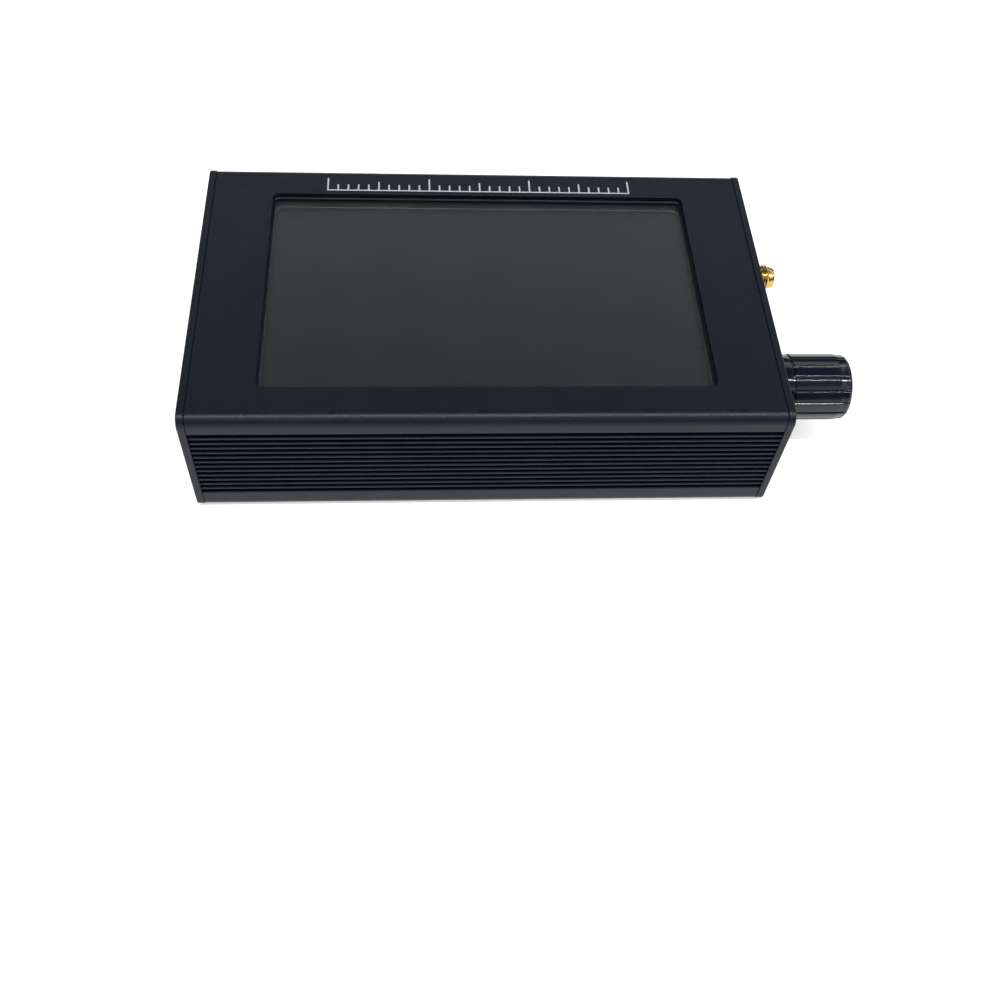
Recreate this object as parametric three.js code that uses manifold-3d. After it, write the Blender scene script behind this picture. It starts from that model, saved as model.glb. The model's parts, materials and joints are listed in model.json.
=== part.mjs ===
// Handheld spectrum analyzer in an extruded aluminium case. Millimetres, +Z up.
// Origin: the middle of the case's resting face. X runs along the extrusion, from the charging
// end (-X) to the end with the tuning knob and the aerial socket (+X). Y runs front to back.
import * as THREE from 'three';
import { mergeVertices } from 'three/addons/utils/BufferGeometryUtils.js';
import Module from 'manifold-3d';

const wasm = await Module();
wasm.setup();

// ---- Driving dimensions -------------------------------------------------------------------

const OVERALL_LENGTH = 128;
const PLATE_THICKNESS = 1.6;
const PLATE_PROUD = 0.2;
const CASE_DEPTH = 75.8;
const CASE_HEIGHT = 31.8;
const CASE_EDGE_RADIUS = 2.5;
const TOP_WALL = 1.8;
const FLOOR_WALL = 1.5;
const SIDE_WALL = 2.0;
const CAVITY_CORNER_RADIUS = 0.6;

const END_X = OVERALL_LENGTH / 2;
const PLATE_INNER_X = END_X - PLATE_THICKNESS;
const HALF_DEPTH = CASE_DEPTH / 2;
const CAVITY_Y = HALF_DEPTH - SIDE_WALL;
const CEILING_Z = CASE_HEIGHT - TOP_WALL;

const RIB_COUNT = 12;
const RIB_PITCH = 1.647;
const RIB_WIDTH = 0.45;
const RIB_FIELD_LOW = 5.8;
const RIB_FIELD_HIGH = 27.1;
const GROOVE_DEPTH = 0.8;

const WINDOW_LENGTH = 97.2;
const WINDOW_DEPTH = 58.1;
const WINDOW_CORNER_RADIUS = 1.5;
// A narrow lip stands into the window along the bottom of its wall.
const WINDOW_LIP = { width: 0.3, height: 0.45 };

const SCREW_PORT_RADIUS = 1.7;
const SCREW_HOLE_RADIUS = 1.05;
const SCREW_Y = HALF_DEPTH - CASE_EDGE_RADIUS;
const SCREW_LOW_Z = CASE_EDGE_RADIUS;
const SCREW_HIGH_Z = CASE_HEIGHT - CASE_EDGE_RADIUS;

const BOARD_BOTTOM = 8.0;
const BOARD_TOP = 9.6;
const RAIL_DEPTH = 1.5;
const RAIL_HEIGHT = 1.0;
const RAIL_CLEARANCE = 0.1;

const KNOB_Y = -16.8;
const SMA_Y = 17.9;
const AXIS_Z = 16;

const SWITCH_Y = -16;
const SWITCH_Z = 12.4;
const SWITCH_TRAVEL = 2.0;
const USB_Y = 6;
const USB_Z = 10.95;
const LAMP_Y = 18;
const LAMP_Z = 11.5;

// The left plate's openings, as half sizes in Y and Z.
const USB_SLOT = { halfY: 4.1, halfZ: 1.7, radius: 0.8 };
const SWITCH_SLOT = { halfY: 2.6, halfZ: 1.5, radius: 0.4 };
const LAMP_HOLE_RADIUS = 1.2;

// The right plate's holes.
const ENCODER_HOLE_RADIUS = 3.6;
const SMA_HOLE_RADIUS = 3.3;

// How far a cutting block or rod runs past the material it cuts.
const PAST = 1;

// The gap between soldered parts and the board under or over them.
const SOLDER_GAP = 0.05;

const ROUND_SEGMENTS = 32;
const ARC_SEGMENTS = 3;

// ---- Finishes -----------------------------------------------------------------------------

function finish(color, roughness, metalness) {
  return () => new THREE.MeshStandardMaterial({ color, roughness, metalness });
}

const blackAnodised = finish(0x17191c, 0.5, 0.6);
const blackScrew = finish(0x1a1a1c, 0.4, 0.8);
const touchGlass = finish(0x1d2122, 0.08, 0.0);
const steel = finish(0xb4b6b8, 0.35, 1.0);
const lcdGlass = finish(0x2a2e2e, 0.2, 0.0);
const whitePlastic = finish(0xe4e4e0, 0.5, 0.0);
const amberFilm = finish(0xa8701e, 0.4, 0.0);
const greenBoard = finish(0x1f5a34, 0.45, 0.0);
const blackBoard = finish(0x15181a, 0.45, 0.0);
const chipPlastic = finish(0x1c1c1e, 0.6, 0.0);
const brass = finish(0xc79b3c, 0.3, 1.0);
const gold = finish(0xd8a92f, 0.25, 1.0);
const nickel = finish(0xc6c6c2, 0.25, 1.0);
const tinplate = finish(0xc2c4c6, 0.35, 1.0);
const silverPouch = finish(0xb8babd, 0.35, 0.4);
const greyFoam = finish(0x3c3e40, 0.95, 0.0);
const redWire = finish(0xb3211c, 0.5, 0.0);
const blackWire = finish(0x18181a, 0.5, 0.0);
const blackPlastic = finish(0x151619, 0.4, 0.0);
const diecast = finish(0x9a9c9e, 0.4, 0.9);
const ptfe = finish(0xeceae2, 0.5, 0.0);
const redLens = finish(0xc23a2c, 0.15, 0.0);

// ---- Solid helpers ------------------------------------------------------------------------

function toSolid(geometry) {
  const bare = geometry.clone();
  bare.deleteAttribute('normal');
  bare.deleteAttribute('uv');
  const merged = mergeVertices(bare, 1e-4);
  const corners = merged.index.array;
  const triangles = [];
  for (let i = 0; i < corners.length; i += 3) {
    const [a, b, c] = [corners[i], corners[i + 1], corners[i + 2]];
    if (a !== b && b !== c && c !== a) triangles.push(a, b, c);
  }
  return new wasm.Manifold(new wasm.Mesh({
    numProp: 3,
    vertProperties: new Float32Array(merged.attributes.position.array),
    triVerts: new Uint32Array(triangles),
  }));
}

function toGeometry(solid) {
  const mesh = solid.getMesh();
  const geometry = new THREE.BufferGeometry();
  geometry.setAttribute('position', new THREE.BufferAttribute(mesh.vertProperties, 3));
  geometry.setIndex(new THREE.BufferAttribute(mesh.triVerts, 1));
  geometry.computeVertexNormals();
  return geometry;
}

function join(...geometries) {
  return toGeometry(geometries.map(toSolid).reduce((all, next) => all.add(next)));
}

function cut(geometry, ...tools) {
  return toGeometry(tools.map(toSolid).reduce((all, tool) => all.subtract(tool), toSolid(geometry)));
}

function overlap(first, second) {
  return toGeometry(toSolid(first).intersect(toSolid(second)));
}

function block(x0, x1, y0, y1, z0, z1) {
  const geometry = new THREE.BoxGeometry(x1 - x0, y1 - y0, z1 - z0);
  return geometry.translate((x0 + x1) / 2, (y0 + y1) / 2, (z0 + z1) / 2);
}

// A closed outline turned about an axis along X. Points are [x, radius], from low x to high x
// along the outside and, on a ring, back along the inside.
function turned(points, y, z, segments = ROUND_SEGMENTS) {
  const profile = points.map(([along, radius]) => new THREE.Vector2(radius, along));
  const geometry = new THREE.LatheGeometry(profile, segments);
  return geometry.rotateZ(-Math.PI / 2).translate(0, y, z);
}

function rod(x0, x1, radius, y, z, segments = ROUND_SEGMENTS) {
  return turned([[x0, 0], [x0, radius], [x1, radius], [x1, 0]], y, z, segments);
}

function ring(x0, x1, inner, outer, y, z) {
  return turned([[x0, inner], [x0, outer], [x1, outer], [x1, inner], [x0, inner]], y, z);
}

// A flat outline in Y and Z, drawn out along X.
function drawnOut(outline, x0, x1) {
  const options = { depth: x1 - x0, bevelEnabled: false, curveSegments: ARC_SEGMENTS };
  const turn = new THREE.Matrix4().makeBasis(
    new THREE.Vector3(0, 1, 0), new THREE.Vector3(0, 0, 1), new THREE.Vector3(1, 0, 0));
  return new THREE.ExtrudeGeometry(outline, options).applyMatrix4(turn).translate(x0, 0, 0);
}

// A flat outline in X and Y, raised along Z.
function raised(outline, z0, z1) {
  const options = { depth: z1 - z0, bevelEnabled: false, curveSegments: ARC_SEGMENTS };
  return new THREE.ExtrudeGeometry(outline, options).translate(0, 0, z0);
}

function roundedRectangle(u0, u1, v0, v1, radius) {
  const outline = new THREE.Shape();
  outline.moveTo(u0 + radius, v0);
  outline.lineTo(u1 - radius, v0);
  outline.absarc(u1 - radius, v0 + radius, radius, -Math.PI / 2, 0, false);
  outline.lineTo(u1, v1 - radius);
  outline.absarc(u1 - radius, v1 - radius, radius, 0, Math.PI / 2, false);
  outline.lineTo(u0 + radius, v1);
  outline.absarc(u0 + radius, v1 - radius, radius, Math.PI / 2, Math.PI, false);
  outline.lineTo(u0, v0 + radius);
  outline.absarc(u0 + radius, v0 + radius, radius, Math.PI, Math.PI * 1.5, false);
  return outline;
}

function polygon(points) {
  return new THREE.Shape(points.map(([u, v]) => new THREE.Vector2(u, v)));
}

function hexagon(acrossFlats, u, v) {
  const radius = acrossFlats / Math.sqrt(3);
  const points = [];
  for (let i = 0; i < 6; i += 1) {
    const angle = (i * Math.PI) / 3;
    points.push([u + radius * Math.cos(angle), v + radius * Math.sin(angle)]);
  }
  return polygon(points);
}

const analyzer = new THREE.Group();
analyzer.name = 'spectrum_analyzer';

function addPart(name, geometry, material) {
  const mesh = new THREE.Mesh(geometry, material());
  mesh.name = name;
  analyzer.add(mesh);
  return mesh;
}

// ---- Case ---------------------------------------------------------------------------------

function sideGrooves() {
  const firstRib = (RIB_FIELD_LOW + RIB_FIELD_HIGH - RIB_PITCH * (RIB_COUNT - 1)) / 2;
  const grooves = [];
  for (let i = 0; i <= RIB_COUNT; i += 1) {
    const below = firstRib + RIB_PITCH * (i - 1) + RIB_WIDTH / 2;
    const above = firstRib + RIB_PITCH * i - RIB_WIDTH / 2;
    const low = i === 0 ? RIB_FIELD_LOW : below;
    const high = i === RIB_COUNT ? RIB_FIELD_HIGH : above;
    for (const side of [-1, 1]) {
      const outer = side * (HALF_DEPTH + PAST);
      const floor = side * (HALF_DEPTH - GROOVE_DEPTH);
      const [y0, y1] = [Math.min(outer, floor), Math.max(outer, floor)];
      grooves.push(block(-END_X, END_X, y0, y1, low, high));
    }
  }
  return grooves;
}

function boardRails(x) {
  const root = 0.5;
  const rails = [];
  const lowTop = BOARD_BOTTOM - RAIL_CLEARANCE;
  const highBottom = BOARD_TOP + RAIL_CLEARANCE;
  for (const side of [-1, 1]) {
    const inner = side * (CAVITY_Y - RAIL_DEPTH);
    const rooted = side * (CAVITY_Y + root);
    const [y0, y1] = [Math.min(inner, rooted), Math.max(inner, rooted)];
    rails.push(block(-x, x, y0, y1, lowTop - RAIL_HEIGHT, lowTop));
    rails.push(block(-x, x, y0, y1, highBottom, highBottom + RAIL_HEIGHT));
  }
  return rails;
}

function screwPlaces() {
  const places = [];
  for (const z of [SCREW_LOW_Z, SCREW_HIGH_Z]) {
    for (const y of [-SCREW_Y, SCREW_Y]) places.push([y, z]);
  }
  return places;
}

// The window's outline, made smaller all round by an inset.
function windowOutline(inset) {
  const x = WINDOW_LENGTH / 2 - inset;
  const y = WINDOW_DEPTH / 2 - inset;
  return roundedRectangle(-x, x, -y, y, WINDOW_CORNER_RADIUS - inset);
}

function makeEnclosure() {
  const x = PLATE_INNER_X;
  const outline = roundedRectangle(-HALF_DEPTH, HALF_DEPTH, 0, CASE_HEIGHT, CASE_EDGE_RADIUS);
  const hollow = roundedRectangle(-CAVITY_Y, CAVITY_Y, FLOOR_WALL, CEILING_Z, CAVITY_CORNER_RADIUS);
  const tube = cut(drawnOut(outline, -x, x), drawnOut(hollow, -x - PAST, x + PAST));
  const ports = screwPlaces().map(([y, z]) => rod(-x, x, SCREW_PORT_RADIUS, y, z, 20));
  const holes = screwPlaces().map(([y, z]) => rod(-x - PAST, x + PAST, SCREW_HOLE_RADIUS, y, z, 12));
  const opening = raised(windowOutline(0), CEILING_Z + WINDOW_LIP.height, CASE_HEIGHT + PAST);
  const lipOpening = raised(windowOutline(WINDOW_LIP.width), CEILING_Z - PAST, CASE_HEIGHT + PAST);
  const body = join(tube, ...ports, ...boardRails(x));
  addPart('enclosure', cut(body, ...holes, opening, lipOpening, ...sideGrooves()), blackAnodised);
}

function plateBlank(x0) {
  const reach = HALF_DEPTH + PLATE_PROUD;
  const top = CASE_HEIGHT + PLATE_PROUD;
  const radius = CASE_EDGE_RADIUS + PLATE_PROUD;
  return drawnOut(roundedRectangle(-reach, reach, 0, top, radius), x0, x0 + PLATE_THICKNESS);
}

const SCREW_HEAD_RADIUS = 1.85;
const SCREW_HEAD_HEIGHT = 1.0;
const SCREW_HEAD_RIM = 0.1;
const SCREW_SHANK_RADIUS = 0.9;
const SCREW_LENGTH = 7.0;
const SCREW_TIP = 0.5;
const SCREW_SUNK = 0.05;
const SCREW_GAP = 0.1;
const CROSS = { halfWidth: 0.25, reach: 1.1, depth: 0.7 };

// The countersunk hole for one plate screw, opening outwards.
function countersink(end, y, z) {
  const shank = SCREW_SHANK_RADIUS + SCREW_GAP;
  const head = SCREW_HEAD_RADIUS + SCREW_GAP;
  const coneStart = END_X - SCREW_HEAD_HEIGHT - 0.25;
  const coneEnd = END_X - 0.15;
  const sink = [
    [PLATE_INNER_X - PAST, 0],
    [PLATE_INNER_X - PAST, shank],
    [coneStart, shank],
    [coneEnd, head],
    [END_X + PAST, head],
    [END_X + PAST, 0],
  ];
  const tool = turned(sink, 0, 0, 20);
  if (end < 0) tool.rotateZ(Math.PI);
  return tool.translate(0, y, z);
}

function makeRightPlate() {
  const [inside, outside] = [PLATE_INNER_X - PAST, END_X + PAST];
  const encoderHole = rod(inside, outside, ENCODER_HOLE_RADIUS, KNOB_Y, AXIS_Z);
  const smaHole = rod(inside, outside, SMA_HOLE_RADIUS, SMA_Y, AXIS_Z);
  const screwHoles = screwPlaces().map(([y, z]) => countersink(1, y, z));
  const plate = cut(plateBlank(PLATE_INNER_X), encoderHole, smaHole, ...screwHoles);
  addPart('right_end_plate', plate, blackAnodised);
}

function plateSlot(y, z, size) {
  const outline = roundedRectangle(
    y - size.halfY, y + size.halfY, z - size.halfZ, z + size.halfZ, size.radius);
  return drawnOut(outline, -END_X - PAST, -PLATE_INNER_X + PAST);
}

function makeLeftPlate() {
  const usbSlot = plateSlot(USB_Y, USB_Z, USB_SLOT);
  const switchSlot = plateSlot(SWITCH_Y, SWITCH_Z, SWITCH_SLOT);
  const lampHole = rod(-END_X - PAST, -PLATE_INNER_X + PAST, LAMP_HOLE_RADIUS, LAMP_Y, LAMP_Z, 20);
  const screwHoles = screwPlaces().map(([y, z]) => countersink(-1, y, z));
  const plate = cut(plateBlank(-END_X), usbSlot, switchSlot, lampHole, ...screwHoles);
  addPart('left_end_plate', plate, blackAnodised);
}

// A countersunk cross-recess screw along X, its head flush with the plate's outer face.
function makePlateScrew(name, end, y, z) {
  const face = END_X - SCREW_SUNK;
  const profile = [
    [face - SCREW_LENGTH, 0],
    [face - SCREW_LENGTH + SCREW_TIP, SCREW_SHANK_RADIUS],
    [face - SCREW_HEAD_HEIGHT - SCREW_HEAD_RIM, SCREW_SHANK_RADIUS],
    [face - SCREW_HEAD_RIM, SCREW_HEAD_RADIUS],
    [face, SCREW_HEAD_RADIUS],
    [face, 0],
  ];
  const { halfWidth, reach, depth } = CROSS;
  const tallArm = block(face - depth, face + PAST, -halfWidth, halfWidth, -reach, reach);
  const wideArm = block(face - depth, face + PAST, -reach, reach, -halfWidth, halfWidth);
  const screw = cut(turned(profile, 0, 0, 16), tallArm, wideArm);
  if (end < 0) screw.rotateZ(Math.PI);
  addPart(name, screw.translate(0, y, z), blackScrew);
}

function makePlateScrews() {
  screwPlaces().forEach(([y, z], i) => {
    makePlateScrew(`left_plate_screw_${i + 1}`, -1, y, z);
    makePlateScrew(`right_plate_screw_${i + 1}`, 1, y, z);
  });
}

// ---- Display ------------------------------------------------------------------------------

const BEZEL = { x: 52.75, y: 33.6, bottom: 26.0, top: 28.7, sheet: 0.3, wall: 0.8, corner: 0.6 };
const BEZEL_VIEW = { x: 48.2, y: 27.7, corner: 1.6 };
const TOUCH = { x: 52.3, y: 33.0, bottom: 28.9, top: 29.7 };
const PANEL = { x: 51.7, y: 32.5, bottom: 27.2, top: 28.3 };
const BACKLIGHT = { bottom: 26.1, top: 27.1 };
const FLEX_HALF_WIDTH = 13;
const FLEX_THICKNESS = 0.2;
const FLEX_BEND_RADIUS = 1.9;
const FLEX_UNDERSIDE_GAP = 0.3;
const FLEX_END_Y = -26.6;
const CONNECTOR = { x: 14, front: -26.5, back: -21.5, bottom: 22.2 };
const DISPLAY_BOARD = { x: 59.5, y: 31.5, bottom: 24.2, top: 25.6 };
const SPACER = { x: 56, y: 28.5, acrossFlats: 5, bore: 1.3, boreDepth: 6, spigot: 1.25 };
const SPACER_HOLE_RADIUS = 1.35;
const BOARD_SCREW = { shank: 1.2, reach: 4, head: 2.2, height: 1.4, slotHalf: 0.3, slotDepth: 0.6 };

function makeTouchPanel() {
  const outline = roundedRectangle(-TOUCH.x, TOUCH.x, -TOUCH.y, TOUCH.y, 0.8);
  addPart('touch_panel', raised(outline, TOUCH.bottom, TOUCH.top), touchGlass);
}

function makeLcdBezel() {
  const { x, y, bottom, top, sheet, wall, corner } = BEZEL;
  const can = raised(roundedRectangle(-x, x, -y, y, corner), bottom, top);
  const inside = block(-x + wall, x - wall, -y + wall, y - wall, bottom - PAST, top - sheet);
  const viewOutline = roundedRectangle(
    -BEZEL_VIEW.x, BEZEL_VIEW.x, -BEZEL_VIEW.y, BEZEL_VIEW.y, BEZEL_VIEW.corner);
  const view = raised(viewOutline, top - PAST, top + PAST);
  const flexNotch = block(
    -FLEX_HALF_WIDTH - 1, FLEX_HALF_WIDTH + 1, -y - PAST, -y + 1.5,
    bottom - PAST, PANEL.top - FLEX_UNDERSIDE_GAP);
  addPart('lcd_bezel', cut(can, inside, view, flexNotch), steel);
}

function makeLcdPanel() {
  addPart('lcd_panel', block(-PANEL.x, PANEL.x, -PANEL.y, PANEL.y, PANEL.bottom, PANEL.top), lcdGlass);
}

function makeBacklight() {
  const plate = block(-PANEL.x, PANEL.x, -PANEL.y, PANEL.y, BACKLIGHT.bottom, BACKLIGHT.top);
  addPart('lcd_backlight', plate, whitePlastic);
}

// The flat cable leaves the panel's front edge and folds down under the display board.
function makeLcdFlex() {
  const upper = PANEL.bottom + 0.4;
  const centre = upper - FLEX_BEND_RADIUS;
  const start = -PANEL.y - SOLDER_GAP;
  const bendY = -PANEL.y - 0.5;
  const outer = FLEX_BEND_RADIUS + FLEX_THICKNESS / 2;
  const inner = FLEX_BEND_RADIUS - FLEX_THICKNESS / 2;
  const outline = new THREE.Shape();
  outline.moveTo(start, centre + inner);
  outline.lineTo(start, centre + outer);
  outline.lineTo(bendY, centre + outer);
  outline.absarc(bendY, centre, outer, Math.PI / 2, Math.PI * 1.5, false);
  outline.lineTo(FLEX_END_Y, centre - outer);
  outline.lineTo(FLEX_END_Y, centre - inner);
  outline.lineTo(bendY, centre - inner);
  outline.absarc(bendY, centre, inner, Math.PI * 1.5, Math.PI / 2, true);
  addPart('lcd_flex', drawnOut(outline, -FLEX_HALF_WIDTH, FLEX_HALF_WIDTH), amberFilm);
  const { x, front, back, bottom } = CONNECTOR;
  addPart('lcd_connector', block(-x, x, front, back, bottom, DISPLAY_BOARD.bottom), whitePlastic);
}

function spacerPlaces() {
  return [[-1, -1], [1, -1], [-1, 1], [1, 1]].map(([sx, sy]) => [sx * SPACER.x, sy * SPACER.y]);
}

function upright(radius, z0, z1, x, y, segments = 20) {
  const geometry = new THREE.CylinderGeometry(radius, radius, z1 - z0, segments);
  return geometry.rotateX(Math.PI / 2).translate(x, y, (z0 + z1) / 2);
}

function makeDisplayBoard() {
  const { x, y, bottom, top } = DISPLAY_BOARD;
  const holes = spacerPlaces().map(
    ([sx, sy]) => upright(SPACER_HOLE_RADIUS, bottom - PAST, top + PAST, sx, sy, 16));
  addPart('display_board', cut(block(-x, x, -y, y, bottom, top), ...holes), greenBoard);
}

function makeDisplaySpacers() {
  const { bottom, top } = DISPLAY_BOARD;
  spacerPlaces().forEach(([x, y], i) => {
    const post = raised(hexagon(SPACER.acrossFlats, x, y), BOARD_TOP, bottom);
    const spigot = upright(SPACER.spigot, BOARD_BOTTOM + 0.2, BOARD_TOP + PAST, x, y, 16);
    const bore = upright(SPACER.bore, bottom - SPACER.boreDepth, bottom + PAST, x, y, 16);
    addPart(`display_spacer_${i + 1}`, cut(join(post, spigot), bore), brass);
    const s = BOARD_SCREW;
    const shank = upright(s.shank, bottom - s.reach, top + s.height / 2, x, y, 16);
    const head = upright(s.head, top, top + s.height, x, y);
    const slot = block(
      x - s.head - PAST, x + s.head + PAST, y - s.slotHalf, y + s.slotHalf,
      top + s.height - s.slotDepth, top + s.height + PAST);
    addPart(`display_screw_${i + 1}`, cut(join(shank, head), slot), steel);
  });
}

// ---- Main board and what it carries ---------------------------------------------------------

const MAIN_BOARD = { x: 61.6, y: 35.5 };
const RF_BOARD = { x0: 0.4, x1: 60.4, y0: -8, y1: 24, bottom: AXIS_Z - 0.8, top: AXIS_Z + 0.8 };
const RF_CAN = { x0: 8, x1: 50, y0: -3, y1: 21, height: 4, sheet: 0.4 };
const BATTERY = { x0: -36, x1: 24, y: 25, bottom: 2.2, top: 7.2, corner: 2, padInset: 4 };
const PLUG = { near: 10.4, far: 16, halfWidth: 3.5, bottom: 4.2 };
const WIRE = { radius: 0.65, batteryY: 1.2, plugY: 1.6, batteryZ: 4.8, plugZ: 6.0 };

// Soldered parts on the main board: X range, Y range and height over the seat.
const MCU = { x: [-26, -12], y: [-14, 0], height: 1.4 };
const CHARGER = { x: [-50, -45], y: [9, 13], height: 1.5 };
const DISPLAY_HEADER = { x: [-34, -4], y: [22, 27] };
const RF_HEADER_X = [6, 36];
const RF_HEADER_FRONT_Y = [-6.5, -4];
const RF_HEADER_BACK_Y = [21.2, 23.7];

function makeMainBoard() {
  const { x, y } = MAIN_BOARD;
  const holes = spacerPlaces().map(
    ([sx, sy]) => upright(SPACER_HOLE_RADIUS, BOARD_BOTTOM - PAST, BOARD_TOP + PAST, sx, sy, 16));
  addPart('main_board', cut(block(-x, x, -y, y, BOARD_BOTTOM, BOARD_TOP), ...holes), blackBoard);
}

function makeBoardParts() {
  const seat = BOARD_TOP + SOLDER_GAP;
  const underDisplay = DISPLAY_BOARD.bottom - SOLDER_GAP;
  const underRf = RF_BOARD.bottom - SOLDER_GAP;
  const header = (x, y, top) => block(...x, ...y, seat, top);
  addPart('mcu_chip', block(...MCU.x, ...MCU.y, seat, seat + MCU.height), chipPlastic);
  addPart('charger_chip', block(...CHARGER.x, ...CHARGER.y, seat, seat + CHARGER.height), chipPlastic);
  addPart('display_header', header(DISPLAY_HEADER.x, DISPLAY_HEADER.y, underDisplay), blackPlastic);
  addPart('rf_header_front', header(RF_HEADER_X, RF_HEADER_FRONT_Y, underRf), blackPlastic);
  addPart('rf_header_back', header(RF_HEADER_X, RF_HEADER_BACK_Y, underRf), blackPlastic);
}

function makeRfBoard() {
  const { x0, x1, y0, y1, bottom, top } = RF_BOARD;
  addPart('rf_board', block(x0, x1, y0, y1, bottom, top), greenBoard);
  const { sheet, height } = RF_CAN;
  const can = block(RF_CAN.x0, RF_CAN.x1, RF_CAN.y0, RF_CAN.y1, top + SOLDER_GAP, top + height);
  const inside = block(
    RF_CAN.x0 + sheet, RF_CAN.x1 - sheet, RF_CAN.y0 + sheet, RF_CAN.y1 - sheet,
    top - PAST, top + height - sheet);
  addPart('rf_shield_can', cut(can, inside), tinplate);
}

// A short insulated wire from the battery's end to its plug, in a gentle S.
function batteryWire(name, side, material) {
  const start = BATTERY.x0 - SOLDER_GAP;
  const end = BATTERY.x0 - PLUG.near + SOLDER_GAP;
  const { radius, batteryY, plugY, batteryZ, plugZ } = WIRE;
  const route = new THREE.CatmullRomCurve3([
    new THREE.Vector3(start, side * batteryY, batteryZ),
    new THREE.Vector3(start - 2.95, side * batteryY, batteryZ),
    new THREE.Vector3(end + 3.35, side * plugY, plugZ),
    new THREE.Vector3(end, side * plugY, plugZ),
  ]);
  const section = new THREE.Shape();
  section.absarc(0, 0, radius, 0, Math.PI * 2, false);
  const options = { steps: 12, curveSegments: 4, extrudePath: route };
  addPart(name, new THREE.ExtrudeGeometry(section, options), material);
}

function makeBattery() {
  const { x0, x1, y, bottom, top, corner, padInset } = BATTERY;
  addPart('battery', raised(roundedRectangle(x0, x1, -y, y, corner), bottom, top), silverPouch);
  const pad = block(
    x0 + padInset, x1 - padInset, -y + padInset, y - padInset,
    FLOOR_WALL + SOLDER_GAP, bottom - SOLDER_GAP);
  addPart('battery_pad', pad, greyFoam);
  const plug = block(
    x0 - PLUG.far, x0 - PLUG.near, -PLUG.halfWidth, PLUG.halfWidth,
    PLUG.bottom, BOARD_BOTTOM - SOLDER_GAP);
  addPart('battery_plug', plug, whitePlastic);
  batteryWire('battery_wire_red', 1, redWire);
  batteryWire('battery_wire_black', -1, blackWire);
}

// ---- Charging socket, power switch and charge lamp on the left end --------------------------

const USB = { mouth: -63.7, back: -58.2, halfWidth: 3.75, halfHeight: 1.25, slope: 0.9, sheet: 0.3 };
const USB_TONGUE = { halfWidth: 1.9, low: -0.1, high: 0.5, setBack: 1, filler: 1.2, gap: 0.05 };

function usbOutline(halfWidth, halfHeight, slope) {
  return polygon([
    [USB_Y - halfWidth + slope, USB_Z - halfHeight],
    [USB_Y + halfWidth - slope, USB_Z - halfHeight],
    [USB_Y + halfWidth, USB_Z - halfHeight + slope],
    [USB_Y + halfWidth, USB_Z + halfHeight],
    [USB_Y - halfWidth, USB_Z + halfHeight],
    [USB_Y - halfWidth, USB_Z - halfHeight + slope],
  ]);
}

function makeUsbSocket() {
  const { mouth, back, halfWidth, halfHeight, slope, sheet } = USB;
  const innerSlope = slope - sheet / 3;
  const innerWidth = halfWidth - sheet;
  const innerHeight = halfHeight - sheet;
  const shell = drawnOut(usbOutline(halfWidth, halfHeight, slope), mouth, back);
  const inside = drawnOut(usbOutline(innerWidth, innerHeight, innerSlope), mouth - PAST, back + PAST);
  addPart('micro_usb_shell', cut(shell, inside), nickel);
  const t = USB_TONGUE;
  const filler = drawnOut(
    usbOutline(innerWidth - t.gap, innerHeight - t.gap, innerSlope), back - t.filler, back - 0.1);
  const tongue = block(
    mouth + t.setBack, back - t.filler / 2, USB_Y - t.halfWidth, USB_Y + t.halfWidth,
    USB_Z + t.low, USB_Z + t.high);
  addPart('micro_usb_tongue', join(filler, tongue), blackPlastic);
}

const SWITCH_BODY = { front: -62.2, back: -56.9, halfWidth: 5.5, above: 2.4 };
const SWITCH_CHANNEL = { halfWidth: 3.4, halfHeight: 1.4, depth: 2.8 };
const LEVER = { halfWidth: 1.2, halfHeight: 1.1, standsOut: 2.3, sliderHalfWidth: 2.1, sliderDepth: 2.3 };

function makePowerSwitch() {
  const { front, back } = SWITCH_BODY;
  const body = block(
    front, back, SWITCH_Y - SWITCH_BODY.halfWidth, SWITCH_Y + SWITCH_BODY.halfWidth,
    BOARD_TOP + SOLDER_GAP, SWITCH_Z + SWITCH_BODY.above);
  const c = SWITCH_CHANNEL;
  const channel = block(
    front - PAST, front + c.depth, SWITCH_Y - c.halfWidth, SWITCH_Y + c.halfWidth,
    SWITCH_Z - c.halfHeight, SWITCH_Z + c.halfHeight);
  addPart('power_switch_body', cut(body, channel), nickel);
  const rest = SWITCH_Y - SWITCH_TRAVEL / 2;
  const inner = front + 0.2;
  const z = [SWITCH_Z - LEVER.halfHeight, SWITCH_Z + LEVER.halfHeight];
  const slider = block(
    inner, inner + LEVER.sliderDepth, rest - LEVER.sliderHalfWidth, rest + LEVER.sliderHalfWidth, ...z);
  const grip = block(
    -END_X - LEVER.standsOut, inner + PAST, rest - LEVER.halfWidth, rest + LEVER.halfWidth, ...z);
  addPart('power_switch_lever', join(slider, grip), blackPlastic);
}

const LAMP = { front: -60.4, back: -58.4, halfWidth: 1.5, above: 1.6, lens: 1.0, lensCentre: -63.1 };

function makeChargeLamp() {
  const { front, back, halfWidth, above, lens, lensCentre } = LAMP;
  const base = block(
    front, back, LAMP_Y - halfWidth, LAMP_Y + halfWidth, BOARD_TOP + SOLDER_GAP, LAMP_Z + above);
  const dome = [[lensCentre - lens, 0]];
  const domeSteps = 4;
  for (let i = 1; i <= domeSteps; i += 1) {
    const angle = (i * Math.PI) / (2 * domeSteps);
    dome.push([lensCentre - lens * Math.cos(angle), lens * Math.sin(angle)]);
  }
  dome.push([front + PAST, lens], [front + PAST, 0]);
  addPart('charge_lamp', join(base, turned(dome, LAMP_Y, LAMP_Z, 16)), redLens);
}

// ---- Rotary encoder and knob ----------------------------------------------------------------

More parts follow.
